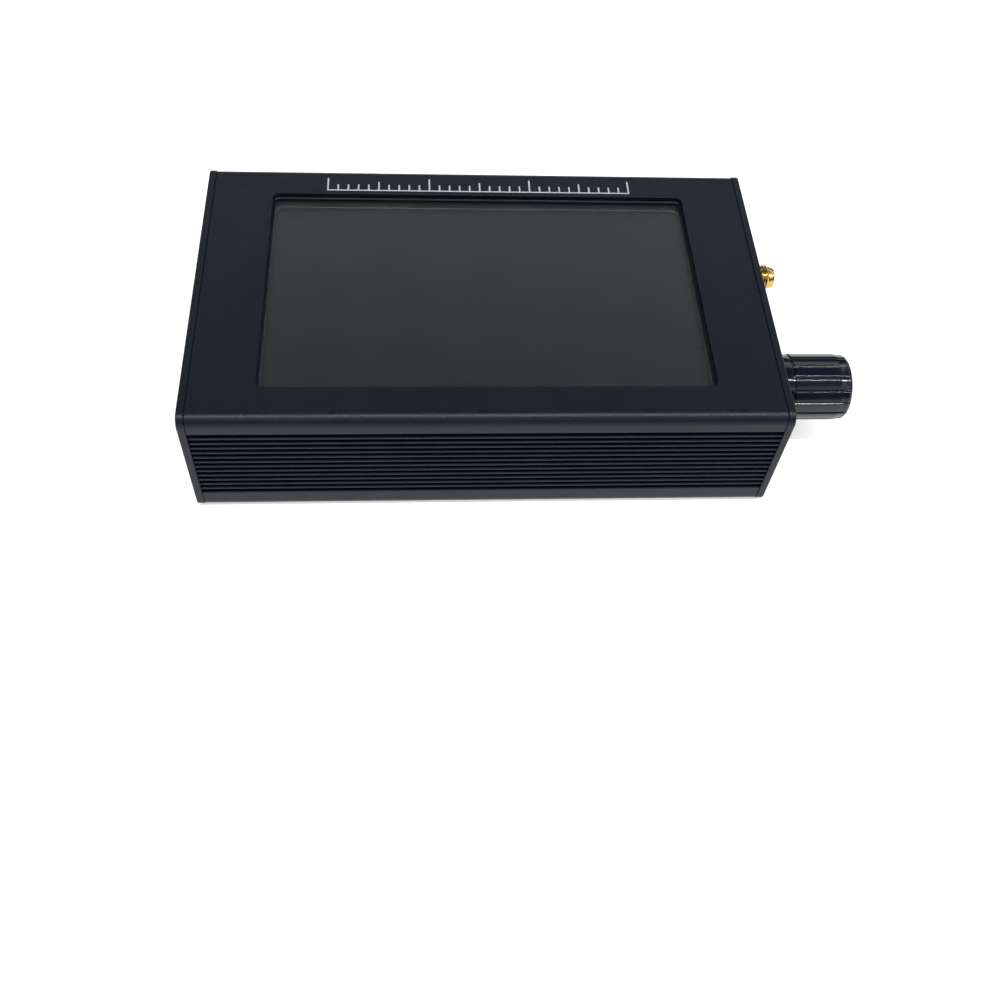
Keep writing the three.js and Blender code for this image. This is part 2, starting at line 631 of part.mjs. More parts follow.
const PRESS_TRAVEL = 0.5;
const ENCODER = { back: 55.9, split: 61.4, half: 6.1, drum: 4.9, pocket: 2.3 };
const BUSHING = { radius: 3.45, end: 69.0 };
const ROTOR = { radius: 4.6, back: 58.5, front: 60.9 };
const DOME = { radius: 2.1, back: 56.55, rim: 56.7, top: 56.9 };
const SHAFT = { radius: 2.95, driveStart: 57.6, driveEnd: 62.3, end: 80, flatStart: 71, flat: 1.5 };
const SHAFT_CLEARANCE = 0.1;
const DRIVE_RADIUS = 2.0;
const DRIVE_HALF_FLAT = 1.5;
const DRIVE_CLEARANCE = 0.12;
const ENCODER_WASHER = { bore: 3.6, radius: 5.4, thickness: 0.5 };
const ENCODER_NUT = { acrossFlats: 10, bore: 3.55, thickness: 2 };

// Half the size, in Y, of a block that cuts right across the shaft.
const ACROSS_SHAFT = 4;

function doubleFlat(x0, x1, radius, halfFlat) {
  const round = rod(x0, x1, radius, KNOB_Y, AXIS_Z, 24);
  const slab = block(
    x0 - PAST, x1 + PAST, KNOB_Y - ACROSS_SHAFT, KNOB_Y + ACROSS_SHAFT,
    AXIS_Z - halfFlat, AXIS_Z + halfFlat);
  return overlap(round, slab);
}

function makeEncoderHousing() {
  const { back, split, half } = ENCODER;
  const y = [KNOB_Y - half, KNOB_Y + half];
  const z = [AXIS_Z - half, AXIS_Z + half];
  const box = block(back, split, ...y, ...z);
  const drum = rod(back + 1.5, split + PAST, ENCODER.drum, KNOB_Y, AXIS_Z);
  const pocket = rod(back + 0.6, back + 2, ENCODER.pocket, KNOB_Y, AXIS_Z);
  addPart('encoder_body', cut(box, drum, pocket), chipPlastic);
  const flange = block(split + SOLDER_GAP, PLATE_INNER_X - 0.1, ...y, ...z);
  const neck = rod(split + 0.5, BUSHING.end, BUSHING.radius, KNOB_Y, AXIS_Z);
  const bore = rod(split - PAST, BUSHING.end + PAST, SHAFT.radius + SHAFT_CLEARANCE, KNOB_Y, AXIS_Z);
  addPart('encoder_bushing', cut(join(flange, neck), bore), diecast);
}

function makeEncoderInside() {
  const disc = rod(ROTOR.back, ROTOR.front, ROTOR.radius, KNOB_Y, AXIS_Z);
  const key = doubleFlat(
    ROTOR.back - PAST, ROTOR.front + PAST, DRIVE_RADIUS + DRIVE_CLEARANCE,
    DRIVE_HALF_FLAT + DRIVE_CLEARANCE);
  addPart('encoder_rotor', cut(disc, key), whitePlastic);
  const dome = [[DOME.back, 0], [DOME.back, DOME.radius], [DOME.rim, DOME.radius], [DOME.top, 0]];
  addPart('encoder_press_dome', turned(dome, KNOB_Y, AXIS_Z, 16), steel);
}

function makeEncoderShaft() {
  const { radius, driveStart, driveEnd, end, flatStart } = SHAFT;
  const drive = doubleFlat(driveStart, driveEnd + PAST, DRIVE_RADIUS, DRIVE_HALF_FLAT);
  const stem = rod(driveEnd, end, radius, KNOB_Y, AXIS_Z);
  const flat = block(
    flatStart, end + PAST, KNOB_Y - ACROSS_SHAFT, KNOB_Y + ACROSS_SHAFT,
    AXIS_Z + SHAFT.flat, AXIS_Z + radius + PAST);
  addPart('encoder_shaft', cut(join(drive, stem), flat), nickel);
}

function makeEncoderFixings() {
  const seat = END_X + ENCODER_WASHER.thickness;
  const washer = ring(END_X, seat, ENCODER_WASHER.bore, ENCODER_WASHER.radius, KNOB_Y, AXIS_Z);
  addPart('encoder_washer', washer, nickel);
  const { acrossFlats, bore, thickness } = ENCODER_NUT;
  const nut = drawnOut(hexagon(acrossFlats, KNOB_Y, AXIS_Z), seat, seat + thickness);
  const hole = rod(seat - PAST, seat + thickness + PAST, bore, KNOB_Y, AXIS_Z);
  addPart('encoder_nut', cut(nut, hole), nickel);
}

const KNOB = {
  base: END_X + PRESS_TRAVEL + 0.45, collarEnd: 69.2, grooveEnd: 69.75, bodyEnd: 80.3, stepEnd: 82.3,
  end: 83.4, collarRadius: 7.58, grooveRadius: 7.2, bodyRadius: 7.62, stepRadius: 7.42,
};
const KNOB_SKIRT = { radius: 6.4, end: 70.2 };
const KNOB_BORE_END = 80.4;
const KNOB_KEY = { start: 71.6, low: 1.95 };
const CLIP = { x: [72.5, 79.5], halfWidth: 1.4, low: 1.58, high: 1.88 };
const KNOB_FLUTES = 16;
const FLUTE_DEPTH = 0.35;

// A round outline with shallow flutes: four points to each flute.
function flutedOutline(radius) {
  const points = [];
  for (let i = 0; i < KNOB_FLUTES; i += 1) {
    for (const [part, depth] of [[0.04, FLUTE_DEPTH], [0.14, 0], [0.86, 0], [0.96, FLUTE_DEPTH]]) {
      const angle = ((i + part) * Math.PI * 2) / KNOB_FLUTES;
      const r = radius - depth;
      points.push([KNOB_Y + r * Math.cos(angle), AXIS_Z + r * Math.sin(angle)]);
    }
  }
  return polygon(points);
}

function makeKnob() {
  const k = KNOB;
  const across = [KNOB_Y - ACROSS_SHAFT, KNOB_Y + ACROSS_SHAFT];
  const core = turned([
    [k.base, 0], [k.base, k.collarRadius - 0.3], [k.base + 0.3, k.collarRadius],
    [k.collarEnd, k.collarRadius], [k.collarEnd, k.grooveRadius], [k.stepEnd, k.grooveRadius - 0.3],
    [k.stepEnd, k.stepRadius - 0.1], [k.stepEnd + 0.5, k.stepRadius - 0.3],
    [k.end - 0.2, k.stepRadius - 0.95], [k.end, k.stepRadius - 2.1], [k.end, 0],
  ], KNOB_Y, AXIS_Z);
  const grip = drawnOut(flutedOutline(k.bodyRadius), k.grooveEnd, k.bodyEnd);
  const step = drawnOut(flutedOutline(k.stepRadius), k.bodyEnd - 0.5, k.stepEnd + 0.1);
  const skirt = rod(k.base - PAST, KNOB_SKIRT.end, KNOB_SKIRT.radius, KNOB_Y, AXIS_Z);
  const bore = rod(
    KNOB_SKIRT.end - PAST, KNOB_BORE_END, SHAFT.radius + SHAFT_CLEARANCE, KNOB_Y, AXIS_Z);
  const key = block(
    KNOB_KEY.start, KNOB_BORE_END, ...across, AXIS_Z + KNOB_KEY.low, AXIS_Z + ACROSS_SHAFT);
  const shaped = cut(join(core, grip, step), skirt, cut(bore, key));
  addPart('knob', shaped, blackPlastic);
  const clip = block(
    ...CLIP.x, KNOB_Y - CLIP.halfWidth, KNOB_Y + CLIP.halfWidth,
    AXIS_Z + CLIP.low, AXIS_Z + CLIP.high);
  addPart('knob_spring_clip', clip, steel);
}

// ---- Aerial socket --------------------------------------------------------------------------

const SMA = {
  flangeBack: 60.65, flangeHalf: 3.175, threadRadius: 3.15, threadEnd: 71.4, neckEnd: 71.8, end: 73.1,
  neckRadius: 2.82, noseRadius: 2.45, mouthDepth: 1.9, dielectricRadius: 2.05,
};
const SMA_LEG = { start: 57, thickness: 1, inner: 0.85, outer: 1.85 };
const SMA_CONTACT = { radius: 0.64, bore: 0.45, boreDepth: 3 };
const SMA_WASHER = { bore: 3.3, radius: 4.7, thickness: 0.5 };
const SMA_NUT = { acrossFlats: 8, bore: 3.25, thickness: 2.2 };

function makeSmaBody() {
  const s = SMA;
  const h = s.flangeHalf;
  const flange = block(
    s.flangeBack, PLATE_INNER_X - 0.1, SMA_Y - h, SMA_Y + h, AXIS_Z - h, AXIS_Z + h);
  const barrel = turned([
    [s.flangeBack + 0.5, 0], [s.flangeBack + 0.5, s.threadRadius], [s.threadEnd, s.threadRadius],
    [s.neckEnd, s.neckRadius], [s.end - 0.15, s.noseRadius],
    [s.end, s.noseRadius - 0.1], [s.end, 0],
  ], SMA_Y, AXIS_Z);
  const { start, thickness, inner, outer } = SMA_LEG;
  const legs = [];
  for (const y of [SMA_Y - h, SMA_Y + h - thickness]) {
    for (const z of [AXIS_Z + inner, AXIS_Z - outer]) {
      legs.push(block(start, s.flangeBack + 0.5, y, y + thickness, z, z + outer - inner));
    }
  }
  const boreRadius = s.dielectricRadius + 0.05;
  const bore = rod(s.flangeBack - PAST, s.end + PAST, boreRadius, SMA_Y, AXIS_Z);
  addPart('sma_body', cut(join(flange, barrel, ...legs), bore), gold);
}

function makeSmaInside() {
  const back = SMA.flangeBack;
  const front = SMA.end - SMA.mouthDepth;
  const { radius, bore, boreDepth } = SMA_CONTACT;
  const insulator = ring(back, front, radius + 0.06, SMA.dielectricRadius, SMA_Y, AXIS_Z);
  addPart('sma_dielectric', insulator, ptfe);
  const pin = rod(back - 0.1, front, radius, SMA_Y, AXIS_Z, 16);
  const socket = rod(front - boreDepth, front + PAST, bore, SMA_Y, AXIS_Z, 12);
  addPart('sma_contact', cut(pin, socket), gold);
}

function makeSmaFixings() {
  const seat = END_X + SMA_WASHER.thickness;
  const washer = ring(END_X, seat, SMA_WASHER.bore, SMA_WASHER.radius, SMA_Y, AXIS_Z);
  addPart('sma_washer', washer, gold);
  const { acrossFlats, bore, thickness } = SMA_NUT;
  const nut = drawnOut(hexagon(acrossFlats, SMA_Y, AXIS_Z), seat, seat + thickness);
  const hole = rod(seat - PAST, seat + thickness + PAST, bore, SMA_Y, AXIS_Z);
  addPart('sma_nut', cut(nut, hole), gold);
}

// ---- Assembly -------------------------------------------------------------------------------

makeEnclosure();
makeRightPlate();
makeLeftPlate();
makePlateScrews();
makeTouchPanel();
makeLcdBezel();
makeLcdPanel();
makeBacklight();
makeLcdFlex();
makeDisplayBoard();
makeDisplaySpacers();
makeMainBoard();
makeBoardParts();
makeRfBoard();
makeBattery();
makeUsbSocket();
makePowerSwitch();
makeChargeLamp();
makeEncoderHousing();
makeEncoderInside();
makeEncoderShaft();
makeEncoderFixings();
makeKnob();
makeSmaBody();
makeSmaInside();
makeSmaFixings();

export default analyzer;
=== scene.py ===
"""Handheld spectrum analyzer: the detailed visual model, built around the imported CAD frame.

Shapes are written in millimetres in the frame's own axes and scaled to metres as each mesh is made.
X runs from the charging end to the end with the knob and aerial socket, Y to the back, Z up.
"""

import json
import math

import bmesh
import bpy
from mathutils import Matrix, Vector
from mathutils.geometry import tessellate_polygon


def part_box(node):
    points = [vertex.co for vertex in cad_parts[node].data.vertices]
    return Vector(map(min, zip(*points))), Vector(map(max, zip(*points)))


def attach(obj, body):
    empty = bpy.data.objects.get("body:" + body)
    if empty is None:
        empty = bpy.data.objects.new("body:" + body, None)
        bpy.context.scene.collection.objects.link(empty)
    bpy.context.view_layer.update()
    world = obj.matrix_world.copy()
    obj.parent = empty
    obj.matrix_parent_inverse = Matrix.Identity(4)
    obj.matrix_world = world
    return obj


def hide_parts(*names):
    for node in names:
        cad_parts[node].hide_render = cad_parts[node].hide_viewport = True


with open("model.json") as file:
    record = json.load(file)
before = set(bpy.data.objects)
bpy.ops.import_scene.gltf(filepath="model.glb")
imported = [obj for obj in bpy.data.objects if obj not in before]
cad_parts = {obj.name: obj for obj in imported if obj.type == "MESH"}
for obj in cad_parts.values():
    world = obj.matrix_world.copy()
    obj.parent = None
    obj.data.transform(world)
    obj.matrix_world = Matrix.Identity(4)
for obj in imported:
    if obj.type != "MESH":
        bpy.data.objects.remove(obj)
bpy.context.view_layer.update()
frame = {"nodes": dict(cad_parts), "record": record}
scene = bpy.context.scene
MM = 0.001


# ---- Measures read from the frame ------------------------------------------------------------


def box_mm(node):
    """A node's lowest and highest corners, in millimetres."""
    low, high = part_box(node)
    return [c / MM for c in low], [c / MM for c in high]


def middle_mm(node):
    """The middle of a node's box, in millimetres."""
    low, high = box_mm(node)
    return [(a + b) / 2 for a, b in zip(low, high)]


CASE_LOW, CASE_HIGH = box_mm("enclosure")
PLATE_LOW, PLATE_HIGH = box_mm("right_end_plate")
CASE_X = CASE_HIGH[0]
CASE_Y = CASE_HIGH[1]
CASE_TOP = CASE_HIGH[2]
FACE_X = PLATE_HIGH[0]
PLATE_Y = PLATE_HIGH[1]
PLATE_TOP = PLATE_HIGH[2]
_, KNOB_Y, AXIS_Z = middle_mm("knob")
_, SMA_Y, _ = middle_mm("sma_nut")
_, USB_Y, USB_Z = middle_mm("micro_usb_shell")
_, LAMP_Y, _ = middle_mm("charge_lamp")

EDGE_RADIUS = 2.5
SIDE_WALL = 2.0
FLOOR_Z = 1.5
CEILING_Z = CASE_TOP - 1.8
CAVITY_Y = CASE_Y - SIDE_WALL
CASE_BEVEL = 0.14
SCREW_Y = CASE_Y - EDGE_RADIUS
SCREW_ZS = (EDGE_RADIUS, CASE_TOP - EDGE_RADIUS)
SCREW_BORE = 1.05
SCREW_PORT = 1.7
RAIL_REACH = 1.5
RAILS = ((6.9, 7.9), (9.7, 10.7))

RIB_COUNT = 12
RIB_PITCH = 1.647
RIB_WIDTH = 0.45
RIB_FIELD = (5.8, 27.1)
GROOVE_DEPTH = 0.8
GROOVE_ROUND = 0.14

WINDOW_X = 48.6
WINDOW_Y = 29.05
WINDOW_RADIUS = 1.5
LIP_WIDTH = 0.3
LIP_HEIGHT = 0.5
LIP_SLOPE = ((0.28, 0), (0.26, 0.01), (0.01, 0.235), (0, 0.26))

SWITCH_SLOT = (-16.0, 12.4)
LAMP_Z = 11.5


# ---- Finishes --------------------------------------------------------------------------------


class Nodes:
    """A small helper that builds one material's node tree."""

    def __init__(self, name):
        self.material = bpy.data.materials.new(name)
        self.material.use_nodes = True
        self.tree = self.material.node_tree
        self.shader = self.tree.nodes["Principled BSDF"]
        self.coordinates = self.add("ShaderNodeTexCoord").outputs["Object"]

    def add(self, kind, **settings):
        node = self.tree.nodes.new(kind)
        for key, value in settings.items():
            setattr(node, key, value)
        return node

    def link(self, source, target):
        self.tree.links.new(source, target)

    def stretched(self, scale):
        """Object coordinates squeezed or stretched along each axis."""
        mapping = self.add("ShaderNodeMapping")
        mapping.inputs["Scale"].default_value = scale
        self.link(self.coordinates, mapping.inputs["Vector"])
        return mapping.outputs["Vector"]

    def noise(self, size_mm, detail=3.0, along=None):
        """Noise whose blobs are about size_mm across, stretched if along is given."""
        node = self.add("ShaderNodeTexNoise")
        node.inputs["Scale"].default_value = 1 / (size_mm * MM)
        node.inputs["Detail"].default_value = detail
        self.link(self.stretched(along) if along else self.coordinates, node.inputs["Vector"])
        return node.outputs["Fac"]

    def ramp(self, value, low, high, start=0.3, end=0.7):
        """A value from 0 to 1 spread between two numbers."""
        node = self.add("ShaderNodeMapRange")
        node.inputs["From Min"].default_value = start
        node.inputs["From Max"].default_value = end
        node.inputs["To Min"].default_value = low
        node.inputs["To Max"].default_value = high
        self.link(value, node.inputs["Value"])
        return node.outputs["Result"]

    def mix(self, factor, first, second):
        """Two colours, or a colour and a link, mixed by a factor."""
        node = self.add("ShaderNodeMix", data_type="RGBA")
        self.link(factor, node.inputs[0])
        for socket, value in ((node.inputs[6], first), (node.inputs[7], second)):
            if isinstance(value, tuple):
                socket.default_value = (*value, 1.0)
            else:
                self.link(value, socket)
        return node.outputs[2]

    def bump(self, height, strength, distance_mm):
        node = self.add("ShaderNodeBump")
        node.inputs["Strength"].default_value = strength
        node.inputs["Distance"].default_value = distance_mm * MM
        self.link(height, node.inputs["Height"])
        return node.outputs["Normal"]

    def set(self, **values):
        names = {
            "metallic": "Metallic", "specular": "Specular IOR Level", "coat": "Coat Weight",
            "alpha": "Alpha", "subsurface": "Subsurface Weight",
        }
        for key, value in values.items():
            self.shader.inputs[names[key]].default_value = value


def shade(color, factor):
    return tuple(min(1.0, c * factor) for c in color)


def finish(name, color, roughness, mottle=0.12, mottle_mm=14.0, spread=0.05,
           grain_mm=0.25, grain_height=0.006, grain_strength=0.5, along=None, wear_and_highlight=0.0, **values):
    """A coloured surface with slow colour variation, uneven gloss, fine grain, and edges lightened
    partly as wear and partly as a painted highlight.
    """
    nodes = Nodes(name)
    cloud = nodes.noise(mottle_mm, 4.0)
    tint = nodes.mix(nodes.ramp(cloud, 0, 1), shade(color, 1 - mottle), shade(color, 1 + mottle))
    if wear_and_highlight:
        # Convex edges are painted lighter: partly rubbed edge wear, partly a painted highlight where
        # rounded edges catch the light.
        edge = nodes.add("ShaderNodeNewGeometry").outputs["Pointiness"]
        rubbed_and_lit = nodes.ramp(edge, 0, wear_and_highlight, 0.52, 0.62)
        tint = nodes.mix(rubbed_and_lit, tint, shade(color, 4.0))
    nodes.link(tint, nodes.shader.inputs["Base Color"])
    gloss = nodes.noise(mottle_mm / 5, 5.0)
    nodes.link(nodes.ramp(gloss, roughness - spread, roughness + spread),
               nodes.shader.inputs["Roughness"])
    grain = nodes.noise(grain_mm, 2.0, along)
    nodes.link(nodes.bump(grain, grain_strength, grain_height), nodes.shader.inputs["Normal"])
    nodes.set(**values)
    return nodes.material


def board_finish(name, resist, copper):
    """A circuit board: solder resist over square-cornered copper tracks and plated dots."""
    nodes = Nodes(name)
    tracks = nodes.add("ShaderNodeTexVoronoi", feature="DISTANCE_TO_EDGE")
    tracks.inputs["Scale"].default_value = 1 / (3.2 * MM)
    tracks.inputs["Randomness"].default_value = 0.55
    nodes.link(nodes.stretched((1, 1, 0)), tracks.inputs["Vector"])
    lines = nodes.ramp(tracks.outputs["Distance"], 1, 0, 0.03, 0.06)
    dots = nodes.add("ShaderNodeTexVoronoi")
    dots.inputs["Scale"].default_value = 1 / (2.1 * MM)
    nodes.link(nodes.stretched((1, 1, 0)), dots.inputs["Vector"])
    plated = nodes.ramp(dots.outputs["Distance"], 1, 0, 0.1, 0.13)
    tint = nodes.mix(lines, resist, shade(resist, 1.7))
    nodes.link(nodes.mix(plated, tint, copper), nodes.shader.inputs["Base Color"])
    nodes.link(nodes.ramp(nodes.noise(4.0), 0.3, 0.42), nodes.shader.inputs["Roughness"])
    nodes.link(nodes.bump(lines, 0.4, 0.03), nodes.shader.inputs["Normal"])
    return nodes.material


def make_finishes():
    return {
        "anodised": finish(
            "anodised", (0.0019, 0.0036, 0.0080), 0.36, mottle=0.14, mottle_mm=22, spread=0.04,
            grain_mm=0.5, grain_height=0.05, grain_strength=0.8, specular=0.2, wear_and_highlight=0.3),
        "screw_black": finish(
            "screw_black", (0.045, 0.045, 0.05), 0.3, grain_mm=0.2, metallic=0.9, wear_and_highlight=0.5),
        "touch_glass": finish(
            "touch_glass", (0.014, 0.020, 0.021), 0.2, spread=0.02, grain_mm=0.7,
            grain_height=0.001, grain_strength=0.3, specular=0.55, alpha=0.42),
        "steel": finish(
            "steel", (0.56, 0.57, 0.57), 0.48, grain_mm=0.3, along=(0.1, 1, 1), metallic=1.0),
        "lcd_glass": finish(
            "lcd_glass", (0.007, 0.0115, 0.0125), 0.3, mottle=0.05, grain_mm=1.2,
            grain_height=0.001, grain_strength=0.3, specular=0.5),
        "lcd_active": finish(
            "lcd_active", (0.024, 0.027, 0.028), 0.34, mottle=0.04, grain_mm=1.2,
            grain_height=0.001, grain_strength=0.3, specular=0.5),
        "white_plastic": finish("white_plastic", (0.75, 0.75, 0.71), 0.5, mottle=0.04),
        "print_ink": finish(
            "print_ink", (0.36, 0.38, 0.39), 0.6, mottle=0.12, mottle_mm=1.5, grain_mm=0.12,
            grain_height=0.008),
        "flex_film": finish(
            "flex_film", (0.5, 0.25, 0.05), 0.35, grain_mm=0.5, along=(1, 0.02, 1), specular=0.5),
        "green_board": board_finish("green_board", (0.012, 0.11, 0.04), (0.75, 0.6, 0.3)),
        "black_board": board_finish("black_board", (0.012, 0.013, 0.016), (0.75, 0.6, 0.3)),
        "chip_plastic": finish("chip_plastic", (0.022, 0.022, 0.024), 0.62, grain_height=0.02),
        "brass": finish(
            "brass", (0.72, 0.5, 0.2), 0.28, grain_mm=0.2, along=(1, 1, 8), metallic=1.0),
        "gold": finish(
            "gold", (0.6, 0.43, 0.15), 0.22, mottle=0.1, mottle_mm=2.5, grain_mm=0.14,
            grain_height=0.004, metallic=1.0),
        "ptfe": finish("ptfe", (0.82, 0.81, 0.77), 0.55, mottle=0.03, subsurface=0.2),
        "nickel": finish(
            "nickel", (0.62, 0.6, 0.56), 0.26, mottle=0.08, mottle_mm=3, metallic=1.0),
        "tinplate": finish(
            "tinplate", (0.6, 0.61, 0.62), 0.32, mottle_mm=6, along=(0.2, 1, 1), metallic=1.0),
        "battery_pouch": finish(
            "battery_pouch", (0.5, 0.51, 0.53), 0.36, mottle_mm=9, grain_mm=2.5,
            grain_height=0.12, metallic=0.7),
        "foam": finish("foam", (0.05, 0.05, 0.055), 0.95, grain_mm=0.5, grain_height=0.12),
        "red_wire": finish("red_wire", (0.45, 0.02, 0.015), 0.42),
        "black_wire": finish("black_wire", (0.018, 0.018, 0.02), 0.42),
        "black_plastic": finish(
            "black_plastic", (0.016, 0.017, 0.02), 0.42, grain_mm=0.18, grain_height=0.012),
        "knob_plastic": finish(
            "knob_plastic", (0.0030, 0.0050, 0.0105), 0.1, mottle=0.12, mottle_mm=5, spread=0.02,
            grain_mm=0.3, grain_height=0.0004, grain_strength=0.2, specular=0.44, wear_and_highlight=0.05),
        "diecast": finish("diecast", (0.42, 0.43, 0.44), 0.45, grain_height=0.02, metallic=0.9),
        "lamp_lens": finish(
            "lamp_lens", (0.5, 0.05, 0.03), 0.12, mottle=0.06, coat=0.6, subsurface=0.15),
    }


FINISHES = make_finishes()


# ---- Mesh building ---------------------------------------------------------------------------


class Shell:
    """Closed meshes under construction, in millimetres, from loops of points joined by faces."""

    def __init__(self):
        self.bm = bmesh.new()
        self.finish = 0

    def loop(self, points):
        return [self.bm.verts.new(p) for p in points]

    def face(self, corners):
        face = self.bm.faces.new(corners)
        face.material_index = self.finish
        face.smooth = True

    def bridge(self, first, second, skip=()):
        """Quads between two loops of the same length, apart from the skipped edges."""
        for i, corner in enumerate(first):
            if i not in skip:
                j = (i + 1) % len(first)
                self.face((corner, first[j], second[j], second[i]))

    def chain(self, loops, skip=()):
        for first, second in zip(loops, loops[1:]):
            self.bridge(first, second, skip)

    def solid(self, loops):
        """Loops joined in turn and closed by a flat face at each end."""
        self.chain(loops)
        self.cap(loops[0])
        self.cap(loops[-1])

    def cap(self, *rings):
        """A flat face bounded by the first ring, with the other rings as holes."""
        corners = [v for ring in rings for v in ring]
        for triangle in tessellate_polygon([[v.co for v in ring] for ring in rings]):
            self.face([corners[i] for i in triangle])


def make_piece(name, shell, finishes, body, stands_for=(), sharp=34.0):
    """Turns a shell into a named object that rides on a body and may stand for CAD nodes."""
    bmesh.ops.recalc_face_normals(shell.bm, faces=shell.bm.faces)
    shell.bm.transform(Matrix.Scale(MM, 4))
    mesh = bpy.data.meshes.new(name)
    shell.bm.to_mesh(mesh)
    shell.bm.free()
    mesh.set_sharp_from_angle(angle=math.radians(sharp))
    for key in finishes:
        mesh.materials.append(FINISHES[key])
    piece = bpy.data.objects.new(name, mesh)
    scene.collection.objects.link(piece)
    weighted = piece.modifiers.new("normals", "WEIGHTED_NORMAL")
    weighted.keep_sharp = True
    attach(piece, body)
    if stands_for:
        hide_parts(*stands_for)
    return piece


def arc(u, v, radius, start, end, steps):
    """Points on a circle from one angle to another, in degrees, both ends included."""
    angles = [math.radians(start + (end - start) * i / steps) for i in range(steps + 1)]
    return [(u + radius * math.cos(a), v + radius * math.sin(a)) for a in angles]


def circle(u, v, radius, steps=32):
    return arc(u, v, radius, 0, 360, steps)[:-1]


def rounded(u, v, half_u, half_v, radius, grow=0.0, steps=8):
    """A rectangle with round corners about a middle point, grown outwards by grow."""
    hu, hv, r = half_u + grow, half_v + grow, radius + grow
    corners = ((hu, -hv, -90), (hu, hv, 0), (-hu, hv, 90), (-hu, -hv, 180))
    points = []
    for cu, cv, start in corners:
        inner_u = u + cu - math.copysign(r, cu)
        inner_v = v + cv - math.copysign(r, cv)
        points += arc(inner_u, inner_v, r, start, start + 90, steps)
    return points


def grown(outline, distance):
    """A closed outline moved outwards, or inwards if distance is negative."""
    result = []
    count = len(outline)
    for i, (u, v) in enumerate(outline):
        before = Vector(outline[i - 1])
        after = Vector(outline[(i + 1) % count])
        here = Vector((u, v))
        first, second = (here - before).normalized(), (after - here).normalized()
        normals = Vector((first.y, -first.x)), Vector((second.y, -second.x))
        middle = (normals[0] + normals[1]).normalized()
        reach = distance / max(0.4, middle.dot(normals[1]))
        result.append((u + middle.x * reach, v + middle.y * reach))
    return result


def at_x(x, outline):
    return [(x, y, z) for y, z in outline]


def at_z(z, outline):
    return [(x, y, z) for x, y in outline]


def quarter(radius, steps):
    """Setback and drop along a quarter round, from its flat face to its side."""
    turns = [math.pi / 2 * i / steps for i in range(steps + 1)]
    return [(radius * (1 - math.sin(t)), radius * (1 - math.cos(t))) for t in turns]


def spun(shell, stations, y, z, angles, closed=False):
    """A turned shape about an axis along X. A station is (x, radius), and a radius may be a
    function of the angle and x. Closed shapes join their last station to their first."""
    loops = []
    for x, radius in stations:
        reach = radius if callable(radius) else lambda angle, at, r=radius: r
        loops.append(shell.loop([
            (x, y + reach(a, x) * math.cos(a), z + reach(a, x) * math.sin(a)) for a in angles]))
    shell.chain(loops)
    if closed:
        shell.bridge(loops[-1], loops[0])
    else:
        shell.cap(loops[0])
        shell.cap(loops[-1])
    return loops


def evenly(count, start=0.0):
    return [start + math.tau * i / count for i in range(count)]


# ---- Case and end plates ---------------------------------------------------------------------


def groove_edge(low, high, lip, fillet):
    """One groove of the back side, as (y, z) points going up."""
    floor = CASE_Y - GROOVE_DEPTH
    return (
        arc(CASE_Y - lip, low - lip, lip, 0, 90, 3)
        + arc(floor + fillet, low + fillet, fillet, 270, 180, 2)
        + arc(floor + fillet, high - fillet, fillet, 180, 90, 2)
        + arc(CASE_Y - lip, high + lip, lip, 270, 360, 3))


def case_outline():
    """The extrusion's outer outline as (y, z) points, and the number of its top edge."""
    centre = sum(RIB_FIELD) / 2
    first = centre - RIB_PITCH * (RIB_COUNT - 1) / 2
    half = RIB_WIDTH / 2
    side = arc(SCREW_Y, SCREW_ZS[0], EDGE_RADIUS, -90, 0, 12)
    for i in range(RIB_COUNT + 1):
        low = RIB_FIELD[0] if i == 0 else first + RIB_PITCH * (i - 1) + half
        high = RIB_FIELD[1] if i == RIB_COUNT else first + RIB_PITCH * i - half
        side += groove_edge(low, high, GROOVE_ROUND, GROOVE_ROUND)
    side += arc(SCREW_Y, SCREW_ZS[1], EDGE_RADIUS, 0, 90, 12)
    return side + [(-y, z) for y, z in reversed(side)], len(side) - 1


def cavity_outline():
    """The inside outline with screw ports and board rails, and the number of its ceiling edge."""
    rail_y = CAVITY_Y - RAIL_REACH
    low_turn = math.degrees(math.asin((SCREW_ZS[0] - FLOOR_Z) / SCREW_PORT))
    high_turn = math.degrees(math.asin((CEILING_Z - SCREW_ZS[1]) / SCREW_PORT))
    up = math.degrees(math.acos((CAVITY_Y - SCREW_Y) / SCREW_PORT))
    side = arc(SCREW_Y, SCREW_ZS[0], SCREW_PORT, 180 + low_turn, up, 8)
    for low, high in RAILS:
        side += [(CAVITY_Y, low), (rail_y, low), (rail_y, high), (CAVITY_Y, high)]
    side += arc(SCREW_Y, SCREW_ZS[1], SCREW_PORT, -up, -180 - high_turn, 8)
    return side + [(-y, z) for y, z in reversed(side)], len(side) - 1


def window_outline(grow):
    return rounded(0, 0, WINDOW_X, WINDOW_Y, WINDOW_RADIUS, grow, 10)


def top_rectangle(first, second, edge):
    """The four corners of the flat between two end loops of the extrusion."""
    return [first[edge], first[edge + 1], second[edge + 1], second[edge]]


